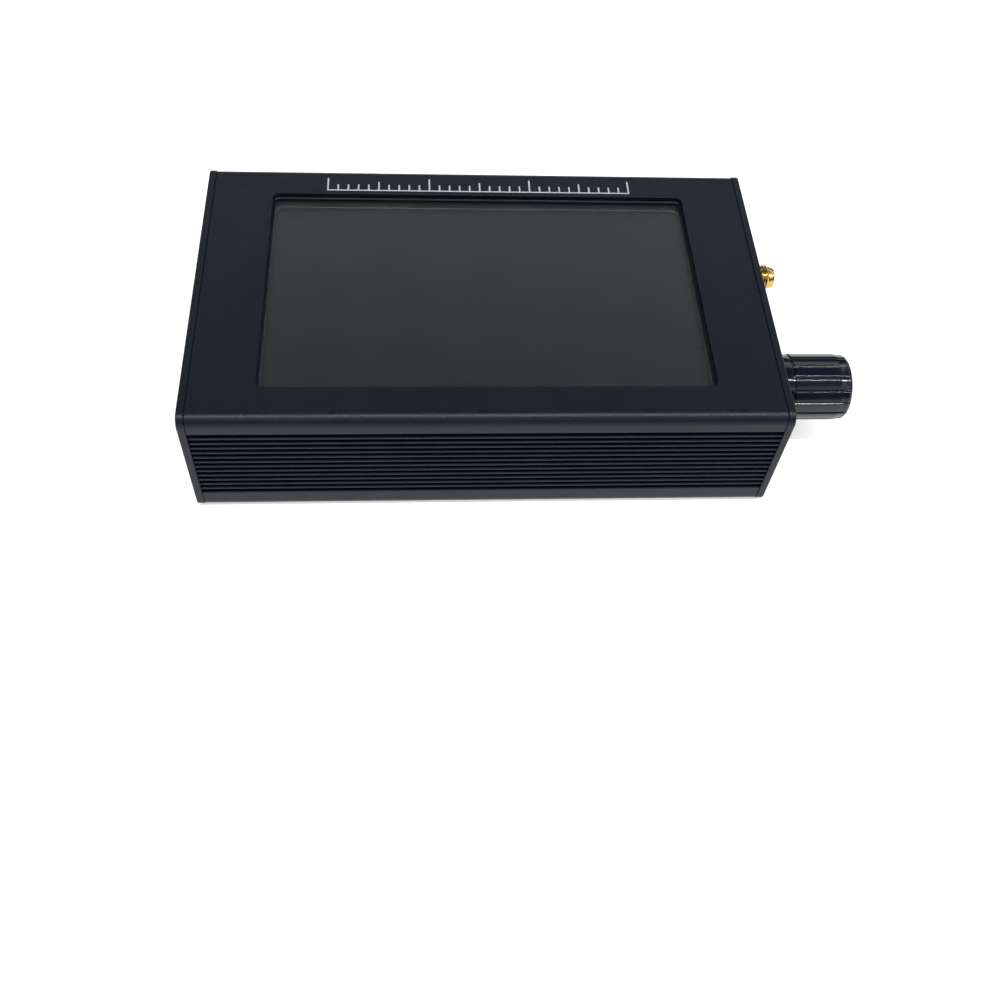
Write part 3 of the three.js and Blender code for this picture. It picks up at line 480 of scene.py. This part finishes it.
def make_case():
    shell = Shell()
    outline, top_edge = case_outline()
    ends = [(-CASE_X, -CASE_BEVEL), (CASE_BEVEL - CASE_X, 0), (CASE_X - CASE_BEVEL, 0),
            (CASE_X, -CASE_BEVEL)]
    loops = [shell.loop(at_x(x, grown(outline, grow))) for x, grow in ends]
    shell.bridge(loops[0], loops[1])
    shell.bridge(loops[1], loops[2], skip=(top_edge,))
    shell.bridge(loops[2], loops[3])

    cavity, ceiling_edge = cavity_outline()
    inner = [shell.loop(at_x(x, cavity)) for x in (-CASE_X, CASE_X)]
    shell.bridge(inner[0], inner[1], skip=(ceiling_edge,))

    bores = []
    for y in (-SCREW_Y, SCREW_Y):
        for z in SCREW_ZS:
            bore = [shell.loop(at_x(x, circle(y, z, SCREW_BORE, 16))) for x in (-CASE_X, CASE_X)]
            shell.bridge(*bore)
            bores.append(bore)
    for end in (0, 1):
        shell.cap(loops[3 * end], inner[end], *(bore[end] for bore in bores))

    rim = [shell.loop(at_z(CASE_TOP - drop, window_outline(setback)))
           for setback, drop in quarter(0.15, 4)]
    shelf = CEILING_Z + LIP_HEIGHT
    lip = [shell.loop(at_z(shelf + 0.05, window_outline(0))),
           shell.loop(at_z(shelf + 0.01, window_outline(-0.01)))]
    lip += [shell.loop(at_z(shelf - drop, window_outline(setback - LIP_WIDTH)))
            for setback, drop in LIP_SLOPE]
    lip += [shell.loop(at_z(CEILING_Z + 0.05, window_outline(-LIP_WIDTH))),
            shell.loop(at_z(CEILING_Z, window_outline(0.05 - LIP_WIDTH)))]
    shell.chain(rim + lip)
    shell.cap(top_rectangle(loops[1], loops[2], top_edge), rim[0])
    shell.cap(top_rectangle(inner[0], inner[1], ceiling_edge), lip[-1])
    make_piece("case_extrusion", shell, ["anodised"], "case", ["enclosure"])


def plate_opening(shell, end, rings):
    """A hole through a plate, from rings of (x, outline), the outer face's first."""
    loops = [shell.loop(at_x(end * x, outline)) for x, outline in rings]
    shell.chain(loops)
    return loops[0], loops[-1]


def countersink(y, z):
    steps = 32
    return [(FACE_X, circle(y, z, 2.02, steps)), (FACE_X - 0.05, circle(y, z, 1.95, steps)),
            (FACE_X - 0.15, circle(y, z, 1.95, steps)), (FACE_X - 1.1, circle(y, z, 1.0, steps)),
            (CASE_X, circle(y, z, 1.0, steps))]


def straight_hole(outline, edge=0.15):
    return [(FACE_X, grown(outline, edge)), (FACE_X - edge, outline), (CASE_X, outline)]


def make_plate(name, end, holes):
    shell = Shell()
    outline = rounded(0, PLATE_TOP / 2, PLATE_Y, PLATE_TOP / 2, EDGE_RADIUS + 0.2, 0, 12)
    rings = [(CASE_X, -0.12), (CASE_X + 0.12, 0)]
    rings += [(FACE_X - drop, -setback) for setback, drop in reversed(quarter(0.25, 4))]
    loops = [shell.loop(at_x(end * x, grown(outline, grow))) for x, grow in rings]
    shell.chain(loops)
    corners = [countersink(y, z) for y in (-SCREW_Y, SCREW_Y) for z in SCREW_ZS]
    openings = [plate_opening(shell, end, rings) for rings in corners + holes]
    shell.cap(loops[-1], *(outer for outer, _ in openings))
    shell.cap(loops[0], *(inside for _, inside in openings))
    make_piece(f"{name}_plate", shell, ["anodised"], "case", [f"{name}_end_plate"])


def make_plates():
    make_plate("right", 1, [
        straight_hole(circle(KNOB_Y, AXIS_Z, 3.6, 48)), straight_hole(circle(SMA_Y, AXIS_Z, 3.3, 48))])
    make_plate("left", -1, [
        straight_hole(rounded(USB_Y, USB_Z, 4.1, 1.7, 0.8)),
        straight_hole(rounded(*SWITCH_SLOT, 2.6, 1.5, 0.4)),
        straight_hole(circle(LAMP_Y, LAMP_Z, 1.2, 32), 0.1)])


def cross_outline(scale):
    """A cross-head recess with slightly rounded arms."""
    width, reach, trim = 0.25 * scale, 1.08 * scale, 0.09 * scale
    arm = [(reach, -width + trim), (reach, width - trim), (reach - trim, width), (width, width)]
    points = []
    for turn in range(4):
        c, s = round(math.cos(turn * math.pi / 2)), round(math.sin(turn * math.pi / 2))
        points.append((c * (reach - trim) + s * width, s * (reach - trim) - c * width))
        points += [(c * u - s * v, s * u + c * v) for u, v in arm]
    return points


def make_plate_screw(side, number, end, y, z):
    shell = Shell()
    node = f"{side}_plate_screw_{number}"
    low, high = box_mm(node)
    face = max(abs(low[0]), abs(high[0]))
    tip = min(abs(low[0]), abs(high[0]))
    turned = [(tip, 0.5), (tip + 0.35, 0.86), (face - 1.1, 0.9), (face - 0.12, 1.85),
              (face - 0.05, 1.84), (face, 1.76)]
    loops = [shell.loop(at_x(end * x, circle(y, z, r, 40))) for x, r in turned]
    shell.chain(loops)
    shell.cap(loops[0])
    recess = []
    for depth, scale in ((0, 1.0), (0.06, 0.93), (0.55, 0.72), (0.72, 0.25)):
        outline = [(y + u, z + v) for u, v in cross_outline(scale)]
        recess.append(shell.loop(at_x(end * (face - depth), outline)))
    shell.cap(loops[-1], recess[0])
    shell.chain(recess)
    shell.cap(recess[-1])
    make_piece(f"{side}_screw_{number}", shell, ["screw_black"], "case", [node])


def make_plate_screws():
    number = 0
    for z in SCREW_ZS:
        for y in (-SCREW_Y, SCREW_Y):
            number += 1
            make_plate_screw("left", number, -1, y, z)
            make_plate_screw("right", number, 1, y, z)


def make_scale_print():
    """A plain graduated scale in pale ink on the top's back margin."""
    shell = Shell()
    low, high = CASE_TOP - 0.01, CASE_TOP + 0.03
    line_y, half_length, steps = 30.15, 36.0, 30
    pitch = 2 * half_length / steps

    def bar(x, y, half_x, half_y):
        outline = rounded(x, y, half_x, half_y, min(half_x, half_y) * 0.5, 0, 3)
        rings = [shell.loop(at_z(low, outline)), shell.loop(at_z(high - 0.01, outline)),
                 shell.loop(at_z(high, grown(outline, -0.02)))]
        shell.solid(rings)

    bar(0, line_y + 0.17, half_length + 0.18, 0.17)
    for step in range(steps + 1):
        height = 4.0 if step % 10 == 0 else 2.9 if step % 5 == 0 else 1.9
        x = -half_length + step * pitch
        bar(x, line_y + 0.25 + height / 2, 0.18, height / 2)
    make_piece("top_scale_print", shell, ["print_ink"], "case")


# ---- Display ---------------------------------------------------------------------------------


BEZEL_VIEW = (0, 0, 48.2, 27.7, 1.6)
BEZEL_SHEET = 0.3
BEZEL_WALL = 0.8
PICTURE_HALF = (47.5, 26.75)


def make_bezel():
    """The display's steel can, open below, with a view cut in its top."""
    low, high = box_mm("lcd_bezel")
    shell = Shell()
    x, y = high[0], high[1]
    outer = [shell.loop(at_z(low[2], rounded(0, 0, x, y, 0.6)))]
    outer += [shell.loop(at_z(high[2] - drop, rounded(0, 0, x, y, 0.6, -setback)))
              for setback, drop in reversed(quarter(0.25, 3))]
    shell.chain(outer)
    view = [shell.loop(at_z(high[2] - drop, rounded(*BEZEL_VIEW, setback)))
            for setback, drop in quarter(0.12, 3)]
    view.append(shell.loop(at_z(high[2] - BEZEL_SHEET, rounded(*BEZEL_VIEW))))
    shell.chain(view)
    shell.cap(outer[-1], view[0])
    inside = [shell.loop(at_z(z, rounded(0, 0, x, y, 0.6, -BEZEL_WALL)))
              for z in (high[2] - BEZEL_SHEET, low[2])]
    shell.chain(inside)
    shell.cap(inside[0], view[-1])
    shell.cap(outer[0], inside[-1])
    make_piece("lcd_frame", shell, ["steel"], "case", ["lcd_bezel"])


def make_panel():
    """The display's two glass sheets, the top one smaller, with the picture area inlaid."""
    low, high = box_mm("lcd_panel")
    x, y = high[0], high[1]
    film = high[2] - 0.2
    shell = Shell()
    rings = [shell.loop(at_z(low[2], rounded(0, 0, x, y, 0.2))),
             shell.loop(at_z(film, rounded(0, 0, x, y, 0.2))),
             shell.loop(at_z(film, rounded(0, 0, x, y, 0.2, -1.2))),
             shell.loop(at_z(high[2] - 0.03, rounded(0, 0, x, y, 0.2, -1.23))),
             shell.loop(at_z(high[2], rounded(0, 0, x, y, 0.2, -1.26)))]
    shell.chain(rings)
    shell.cap(rings[0])
    picture = shell.loop(at_z(high[2], rounded(0, 0, *PICTURE_HALF, 0.15)))
    shell.cap(rings[-1], picture)
    shell.finish = 1
    shell.cap(picture)
    make_piece("lcd_glass_stack", shell, ["lcd_glass", "lcd_active"], "case", ["lcd_panel"])


# ---- Charging socket, power switch and lamp --------------------------------------------------


def usb_outline(half_y, half_z, slope, grow=0.0):
    """The micro-USB outline: flat on top, sloped at the bottom corners, all corners eased."""
    corners = [(-half_y + slope, -half_z), (half_y - slope, -half_z), (half_y, -half_z + slope),
               (half_y, half_z), (-half_y, half_z), (-half_y, -half_z + slope)]
    ease = 0.22
    points = []
    for i, corner in enumerate(corners):
        here = Vector(corner)
        before = (Vector(corners[i - 1]) - here).normalized()
        after = (Vector(corners[(i + 1) % 6]) - here).normalized()
        start, end = here + before * ease, here + after * ease
        for t in (0, 0.25, 0.5, 0.75, 1):
            p = start * (1 - t) ** 2 + here * 2 * t * (1 - t) + end * t ** 2
            points.append((USB_Y + p.x, USB_Z + p.y))
    return grown(points, grow)


def make_usb():
    low, high = box_mm("micro_usb_shell")
    mouth, back = low[0], high[0]
    half_y, half_z = (high[1] - low[1]) / 2, (high[2] - low[2]) / 2
    shell = Shell()
    rings = [(back, 0), (mouth + 0.08, 0), (mouth, -0.07), (mouth, -0.2), (mouth + 0.12, -0.3),
             (back, -0.3)]
    loops = [shell.loop(at_x(x, usb_outline(half_y, half_z, 0.9, grow))) for x, grow in rings]
    shell.chain(loops)
    shell.bridge(loops[-1], loops[0])
    make_piece("usb_shell", shell, ["nickel"], "case", ["micro_usb_shell"])

    low, high = box_mm("micro_usb_tongue")
    shell = Shell()
    filler = [shell.loop(at_x(x, usb_outline(half_y, half_z, 0.9, -0.36)))
              for x in (back - 1.2, high[0])]
    shell.solid(filler)
    blade = rounded(USB_Y, USB_Z + 0.2, 1.9, 0.3, 0.1, 0, 3)
    loops = [shell.loop(at_x(x, grown(blade, grow)))
             for x, grow in ((low[0], -0.08), (low[0] + 0.1, 0), (back - 1.1, 0))]
    shell.solid(loops)
    shell.finish = 1
    for i in range(5):
        y = USB_Y + (i - 2) * 0.65
        strip = rounded(y, USB_Z - 0.12, 0.18, 0.05, 0.03, 0, 2)
        loops = [shell.loop(at_x(x, strip)) for x in (low[0] + 0.25, back - 1.15)]
        shell.solid(loops)
    make_piece("usb_tongue", shell, ["black_plastic", "gold"], "case", ["micro_usb_tongue"])


def make_switch_lever():
    low, high = box_mm("power_switch_lever")
    y, z = (low[1] + high[1]) / 2, (low[2] + high[2]) / 2
    half_y, half_z = 1.2, (high[2] - low[2]) / 2
    shell = Shell()
    slider = rounded(y, z, 2.1, half_z, 0.15, 0, 3)
    loops = [shell.loop(at_x(x, slider)) for x in (-62.0, high[0])]
    shell.solid(loops)
    grip = rounded(y, z, half_y, half_z, 0.25, 0, 4)
    rings = [(-61.9, 0)]
    rings += [(low[0] + 0.35 + drop, -setback) for setback, drop in reversed(quarter(0.2, 3))]
    loops = [shell.loop(at_x(x, grown(grip, grow))) for x, grow in rings]
    shell.solid(loops)
    for i in range(3):
        ridge = rounded(y + (i - 1) * 0.62, z, 0.17, half_z - 0.28, 0.14, 0, 3)
        loops = [shell.loop(at_x(x, grown(ridge, grow)))
                 for x, grow in ((low[0] + 0.4, 0), (low[0] + 0.1, 0), (low[0], -0.07))]
        shell.solid(loops)
    make_piece("switch_lever", shell, ["black_plastic"], "power_lever", ["power_switch_lever"])


def make_lamp():
    low, high = box_mm("charge_lamp")
    shell = Shell()
    stations = [(low[0] + 1 - math.cos(t), max(0.02, math.sin(t)))
                for t in (math.pi / 2 * i / 8 for i in range(9))]
    spun(shell, stations + [(-60.3, 1.0)], LAMP_Y, LAMP_Z, evenly(32))
    base = rounded(LAMP_Y, (low[2] + high[2]) / 2, 1.5, (high[2] - low[2]) / 2, 0.2, 0, 3)
    loops = [shell.loop(at_x(x, base)) for x in (-60.4, high[0])]
    shell.solid(loops)
    make_piece("lamp_lens_dome", shell, ["lamp_lens"], "case", ["charge_lamp"])


# ---- Knob and encoder fixings ----------------------------------------------------------------

KNOB_BORE = 3.05
FLUTES = 16
FLUTE_PHASE = math.radians(0.4)
FLUTE_HALF_WIDTH = math.radians(3.3)
FLUTE_DEPTH = 0.32


def flute_angles():
    """Angles round the knob, close together in each flute and wide apart between them."""
    offsets = (-11.25, -7.5, -4.4, -3.3, -2.6, -1.8, -0.9, 0, 0.9, 1.8, 2.6, 3.3, 4.4, 7.5)
    pitch = math.tau / FLUTES
    return [FLUTE_PHASE + pitch * i + math.radians(o) for i in range(FLUTES) for o in offsets]


def fluted(radius, depth=FLUTE_DEPTH):
    """A radius with narrow round-bottomed flutes cut into it."""
    pitch = math.tau / FLUTES

    def reach(angle, _):
        aside = (angle - FLUTE_PHASE + pitch / 2) % pitch - pitch / 2
        if abs(aside) >= FLUTE_HALF_WIDTH:
            return radius
        return radius - depth * (1 + math.cos(math.pi * aside / FLUTE_HALF_WIDTH)) / 2

    return reach


def make_knob():
    low, high = box_mm("knob")
    base, end = low[0], high[0]
    collar, neck, grip, step = 7.58, 7.2, 7.62, 7.42
    inside = [(80.4, 0.05), (80.4, KNOB_BORE), (70.2, KNOB_BORE), (70.2, 6.4),
              (base + 0.15, 6.4), (base, 6.55)]
    skirt = [(base, collar - 0.25), (base + 0.08, collar - 0.08), (base + 0.25, collar),
             (69.08, collar), (69.18, collar - 0.04), (69.22, collar - 0.14), (69.26, neck),
             (69.7, neck)]
    body = [(69.74, fluted(grip - 0.2)), (69.8, fluted(grip - 0.06)), (69.95, fluted(grip)),
            (80.25, fluted(grip)), (80.5, fluted(grip - 0.04)), (81.25, fluted(step + 0.03, 0.26)),
            (81.5, fluted(step, 0.25)), (82.25, fluted(step, 0.25)),
            (82.38, fluted(step - 0.03, 0.14)), (82.46, fluted(step - 0.07, 0.02))]
    dome = [(82.6, step - 0.12), (82.8, step - 0.24), (83.0, step - 0.46), (83.17, step - 0.8),
            (83.3, step - 1.25), (83.37, step - 1.7), (end, step - 2.2), (end, 4.75),
            (end - 0.03, 4.62), (end - 0.12, 4.5), (end - 0.15, 4.38), (end - 0.15, 4.25),
            (end - 0.15, 0.05)]
    shell = Shell()
    spun(shell, inside + skirt + body + dome, KNOB_Y, AXIS_Z, flute_angles())
    make_piece("tuning_knob_cap", shell, ["knob_plastic"], "tuning_knob", ["knob"],
               sharp=40)


def hexagonal(across_flats, chamfer_x, slope):
    """A nut's radius: six flats, cut back near both faces by a cone."""
    low, high = chamfer_x
    corner = across_flats / math.sqrt(3)

    def reach(angle, x):
        aside = (angle + math.pi / 6) % (math.pi / 3) - math.pi / 6
        flat = across_flats / 2 / math.cos(aside)
        inset = min(x - low, high - x)
        return min(flat, across_flats / 2 + 0.03 + inset * slope, corner)

    return reach


def make_nut(name, node, y, across_flats, bore, slot):
    low, high = box_mm(node)
    shell = Shell()
    shape = hexagonal(across_flats, (low[0], high[0]), 1.9)
    drops = (0, 0.08, 0.16, 0.26, 0.4)
    outside = [(low[0] + d, shape) for d in drops] + [(high[0] - d, shape) for d in reversed(drops)]
    inside = [(high[0], bore + 0.25), (high[0] - 0.25, bore), (low[0] + 0.25, bore),
              (low[0], bore + 0.25)]
    spun(shell, outside + inside, y, AXIS_Z, evenly(96, math.pi / 2), closed=True)
    make_piece(name, shell, [slot], "case", [node])


def make_washer(name, node, y, bore, slot, teeth=0):
    low, high = box_mm(node)
    outer = (high[1] - low[1]) / 2

    def toothed(angle, _):
        return bore + (0.35 if math.sin(angle * teeth) > 0 else 0.0)

    inner = toothed if teeth else bore
    shell = Shell()
    x0, x1 = low[0], high[0]
    stations = [(x0, outer - 0.06), (x0 + 0.06, outer), (x1 - 0.08, outer), (x1, outer - 0.08),
                (x1, inner), (x0, inner)]
    spun(shell, stations, y, AXIS_Z, evenly(96, 0.02), closed=True)
    make_piece(name, shell, [slot], "case", [node])


# ---- Aerial socket ---------------------------------------------------------------------------

THREAD_PITCH = 25.4 / 36
THREAD_DEPTH = 0.36


def threaded(crest, start, end):
    """A screw thread's radius, running out at both ends."""
    def reach(angle, x):
        turn = (x / THREAD_PITCH - angle / math.tau) % 1.0
        flank = min(1.0, max(0.0, (abs(turn - 0.5) * 2 - 0.14) / 0.72))
        limit = crest - max(0.0, x - (end - 0.3)) * 0.9
        fade = min(1.0, max(0.0, (x - start) / THREAD_PITCH))
        return min(crest - THREAD_DEPTH * flank * fade, limit)

    return reach


def square(half):
    def reach(angle, _):
        return half / max(abs(math.cos(angle)), abs(math.sin(angle)))

    return reach


def make_sma():
    low, high = box_mm("sma_body")
    end = high[0]
    thread_end = 71.4
    shell = Shell()
    flange_back, flange_front, half = 60.65, CASE_X - 0.1, 3.175
    thread = threaded(3.15, CASE_X, thread_end)
    steps = 110
    turns = [(flange_front + (thread_end - flange_front) * i / steps, thread) for i in range(steps + 1)]
    outside = [(flange_back, square(half)), (flange_front, square(half))] + turns
    nose = [(thread_end + 0.3, 2.8), (thread_end + 0.4, 2.8), (end - 0.2, 2.46), (end - 0.06, 2.41),
            (end, 2.32), (end, 2.16), (end - 0.06, 2.1)]
    mouth = [(end - 1.9, 2.1), (flange_back, 2.1)]
    spun(shell, outside + nose + mouth, SMA_Y, AXIS_Z, evenly(64, math.pi / 4), closed=True)
    for y in (SMA_Y - half, SMA_Y + half - 1):
        for z in (AXIS_Z + 0.85, AXIS_Z - 1.85):
            leg = rounded(y + 0.5, z + 0.5, 0.5, 0.5, 0.1, 0, 2)
            loops = [shell.loop(at_x(x, leg)) for x in (low[0], flange_back + 0.3)]
            shell.chain(loops)
            shell.cap(loops[0])
            shell.cap(loops[-1])
    make_piece("aerial_socket", shell, ["gold"], "case", ["sma_body"], sharp=50)

    shell = Shell()
    low, high = box_mm("sma_dielectric")
    stations = [(low[0], 0.7), (low[0], 2.05), (high[0] - 0.08, 2.05), (high[0], 1.97),
                (high[0], 0.78), (high[0] - 0.08, 0.7)]
    spun(shell, stations, SMA_Y, AXIS_Z, evenly(48), closed=True)
    make_piece("socket_insulator", shell, ["ptfe"], "case", ["sma_dielectric"])

    shell = Shell()
    low, high = box_mm("sma_contact")

    def slitted(angle, x):
        quarter_turn = math.pi / 2
        aside = abs((angle + quarter_turn / 2) % quarter_turn - quarter_turn / 2)
        return 0.47 if aside < 0.14 and x > high[0] - 1.2 else 0.62

    stations = [(low[0], 0.62), (high[0] - 1.4, 0.62), (high[0] - 1.2, 0.62),
                (high[0] - 1.19, slitted), (high[0] - 0.06, slitted), (high[0], 0.55),
                (high[0], 0.5), (high[0] - 0.1, 0.45), (high[0] - 3, 0.45), (high[0] - 3, 0.05)]
    spun(shell, stations, SMA_Y, AXIS_Z, evenly(64))
    make_piece("socket_contact", shell, ["gold"], "case", ["sma_contact"])


# ---- CAD nodes that keep their shape ---------------------------------------------------------


def dress_cad_nodes():
    slots = {part["node"]: part["material_slot"] for part in frame["record"]["subparts"]}
    for name, node in frame["nodes"].items():
        for slot in node.material_slots:
            slot.material = FINISHES[slots[name]]


# ---- Floor, light and camera -----------------------------------------------------------------


FLOOR_HALF = 4.0
FLOOR_GLOW = 0.55


def make_floor():
    """A square of pale paper that glows a little, so shadows on it stay faint."""
    bm = bmesh.new()
    corners = ((-1, -1), (1, -1), (1, 1), (-1, 1))
    bm.faces.new([bm.verts.new((x * FLOOR_HALF, y * FLOOR_HALF, 0)) for x, y in corners])
    mesh = bpy.data.meshes.new("floor")
    bm.to_mesh(mesh)
    bm.free()
    floor = bpy.data.objects.new("floor", mesh)
    scene.collection.objects.link(floor)
    paper = finish("floor_paper", (0.6, 0.6, 0.6), 0.8, mottle=0.01, mottle_mm=120,
                   grain_mm=1.2, grain_height=0.02, specular=0.1)
    shader = paper.node_tree.nodes["Principled BSDF"]
    shader.inputs["Emission Color"].default_value = (1.0, 1.0, 1.0, 1.0)
    shader.inputs["Emission Strength"].default_value = FLOOR_GLOW
    mesh.materials.append(paper)


def aim(light, location, target=(0, 0, 0)):
    light.location = location
    light.rotation_euler = (Vector(target) - Vector(location)).to_track_quat("-Z", "Y").to_euler()
    scene.collection.objects.link(light)


SKY_LEVELS = ((0.07, 0.7), (0.14, 0.11), (0.46, 0.09), (0.54, 1.0), (0.66, 0.88), (0.84, 0.09))
SKY_HORIZON = (0, 0.75)
SKY_OVERHEAD = (1, 0.06)
SKY_GAIN = 1.3
STRIP_POWER = 17.0
STRIP_SIZE = (1.8, 0.02)
SUN_POWER = 0.1
SUN_ANGLE = 24


def make_sky():
    """A studio's surroundings: pale at the horizon, bright in a band partway up, dim overhead.
    Each level pairs the height of a direction, 0 to 1, with a brightness."""
    world = bpy.data.worlds.new("studio")
    scene.world = world
    world.use_nodes = True
    tree = world.node_tree
    background = tree.nodes["Background"]
    background.inputs["Color"].default_value = (1.0, 1.0, 1.0, 1.0)
    direction = tree.nodes.new("ShaderNodeTexCoord").outputs["Generated"]
    parts = tree.nodes.new("ShaderNodeSeparateXYZ")
    tree.links.new(direction, parts.inputs["Vector"])
    band = tree.nodes.new("ShaderNodeFloatCurve")
    points = band.mapping.curves[0].points
    points[0].location = SKY_HORIZON
    points[1].location = SKY_OVERHEAD
    for place in SKY_LEVELS:
        points.new(*place)
    band.mapping.update()
    gain = tree.nodes.new("ShaderNodeMath")
    gain.operation = "MULTIPLY"
    gain.inputs[1].default_value = SKY_GAIN
    tree.links.new(parts.outputs["Z"], band.inputs["Value"])
    tree.links.new(band.outputs["Value"], gain.inputs[0])
    tree.links.new(gain.outputs["Value"], background.inputs["Strength"])


def make_lights():
    """A faint soft sun and a long narrow strip overhead."""
    sun = bpy.data.lights.new("soft_sun", "SUN")
    sun.energy = SUN_POWER
    sun.angle = math.radians(SUN_ANGLE)
    aim(bpy.data.objects.new("soft_sun", sun), (0, -0.25, 1.0))

    strip = bpy.data.lights.new("strip", "AREA")
    strip.shape = "RECTANGLE"
    strip.size, strip.size_y = STRIP_SIZE
    strip.energy = STRIP_POWER
    aim(bpy.data.objects.new("strip", strip), (0.2, -0.29, 1.0), (0.2, 0, 0))


CAMERA_TURN = (54.406, -8.091, 6.224)
CAMERA_PLACE = (-0.016477, -0.177140, 0.217807)
CAMERA_LENS = 40.93
CAMERA_SHIFT = (-0.0054, -0.0508)


def make_camera():
    """Looks down at the top from the front. CAMERA_TURN is its pitch, yaw and roll in degrees."""
    pitch, yaw, roll = (math.radians(a) for a in CAMERA_TURN)
    ahead = Vector((0, math.cos(pitch), -math.sin(pitch)))
    up = Vector((0, math.sin(pitch), math.cos(pitch)))
    right = Vector((1, 0, 0))
    turn = Matrix.Rotation(yaw, 3, "Z")
    ahead, up, right = turn @ ahead, turn @ up, turn @ right
    tilted_right = math.cos(roll) * right + math.sin(roll) * up
    tilted_up = -math.sin(roll) * right + math.cos(roll) * up
    data = bpy.data.cameras.new("camera")
    data.sensor_width = 36.0
    data.lens = CAMERA_LENS
    data.shift_x, data.shift_y = CAMERA_SHIFT
    data.clip_start = 0.01
    data.dof.use_dof = False
    camera = bpy.data.objects.new("camera", data)
    axes = Matrix((tilted_right, tilted_up, -ahead)).transposed().to_4x4()
    camera.matrix_world = Matrix.Translation(CAMERA_PLACE) @ axes
    scene.collection.objects.link(camera)
    scene.camera = camera


# ---- Assembly --------------------------------------------------------------------------------

scene.view_settings.view_transform = "Standard"
make_camera()
make_sky()
make_lights()
make_floor()
dress_cad_nodes()
make_case()
make_plates()
make_plate_screws()
make_scale_print()
make_bezel()
make_panel()
make_usb()
make_switch_lever()
make_lamp()
make_knob()
make_nut("encoder_hex_nut", "encoder_nut", KNOB_Y, 10, 3.55, "nickel")
make_washer("encoder_tooth_washer", "encoder_washer", KNOB_Y, 3.6, "nickel", 12)
make_sma()
make_nut("socket_hex_nut", "sma_nut", SMA_Y, 8, 3.25, "gold")
make_washer("socket_tooth_washer", "sma_washer", SMA_Y, 3.3, "gold", 12)
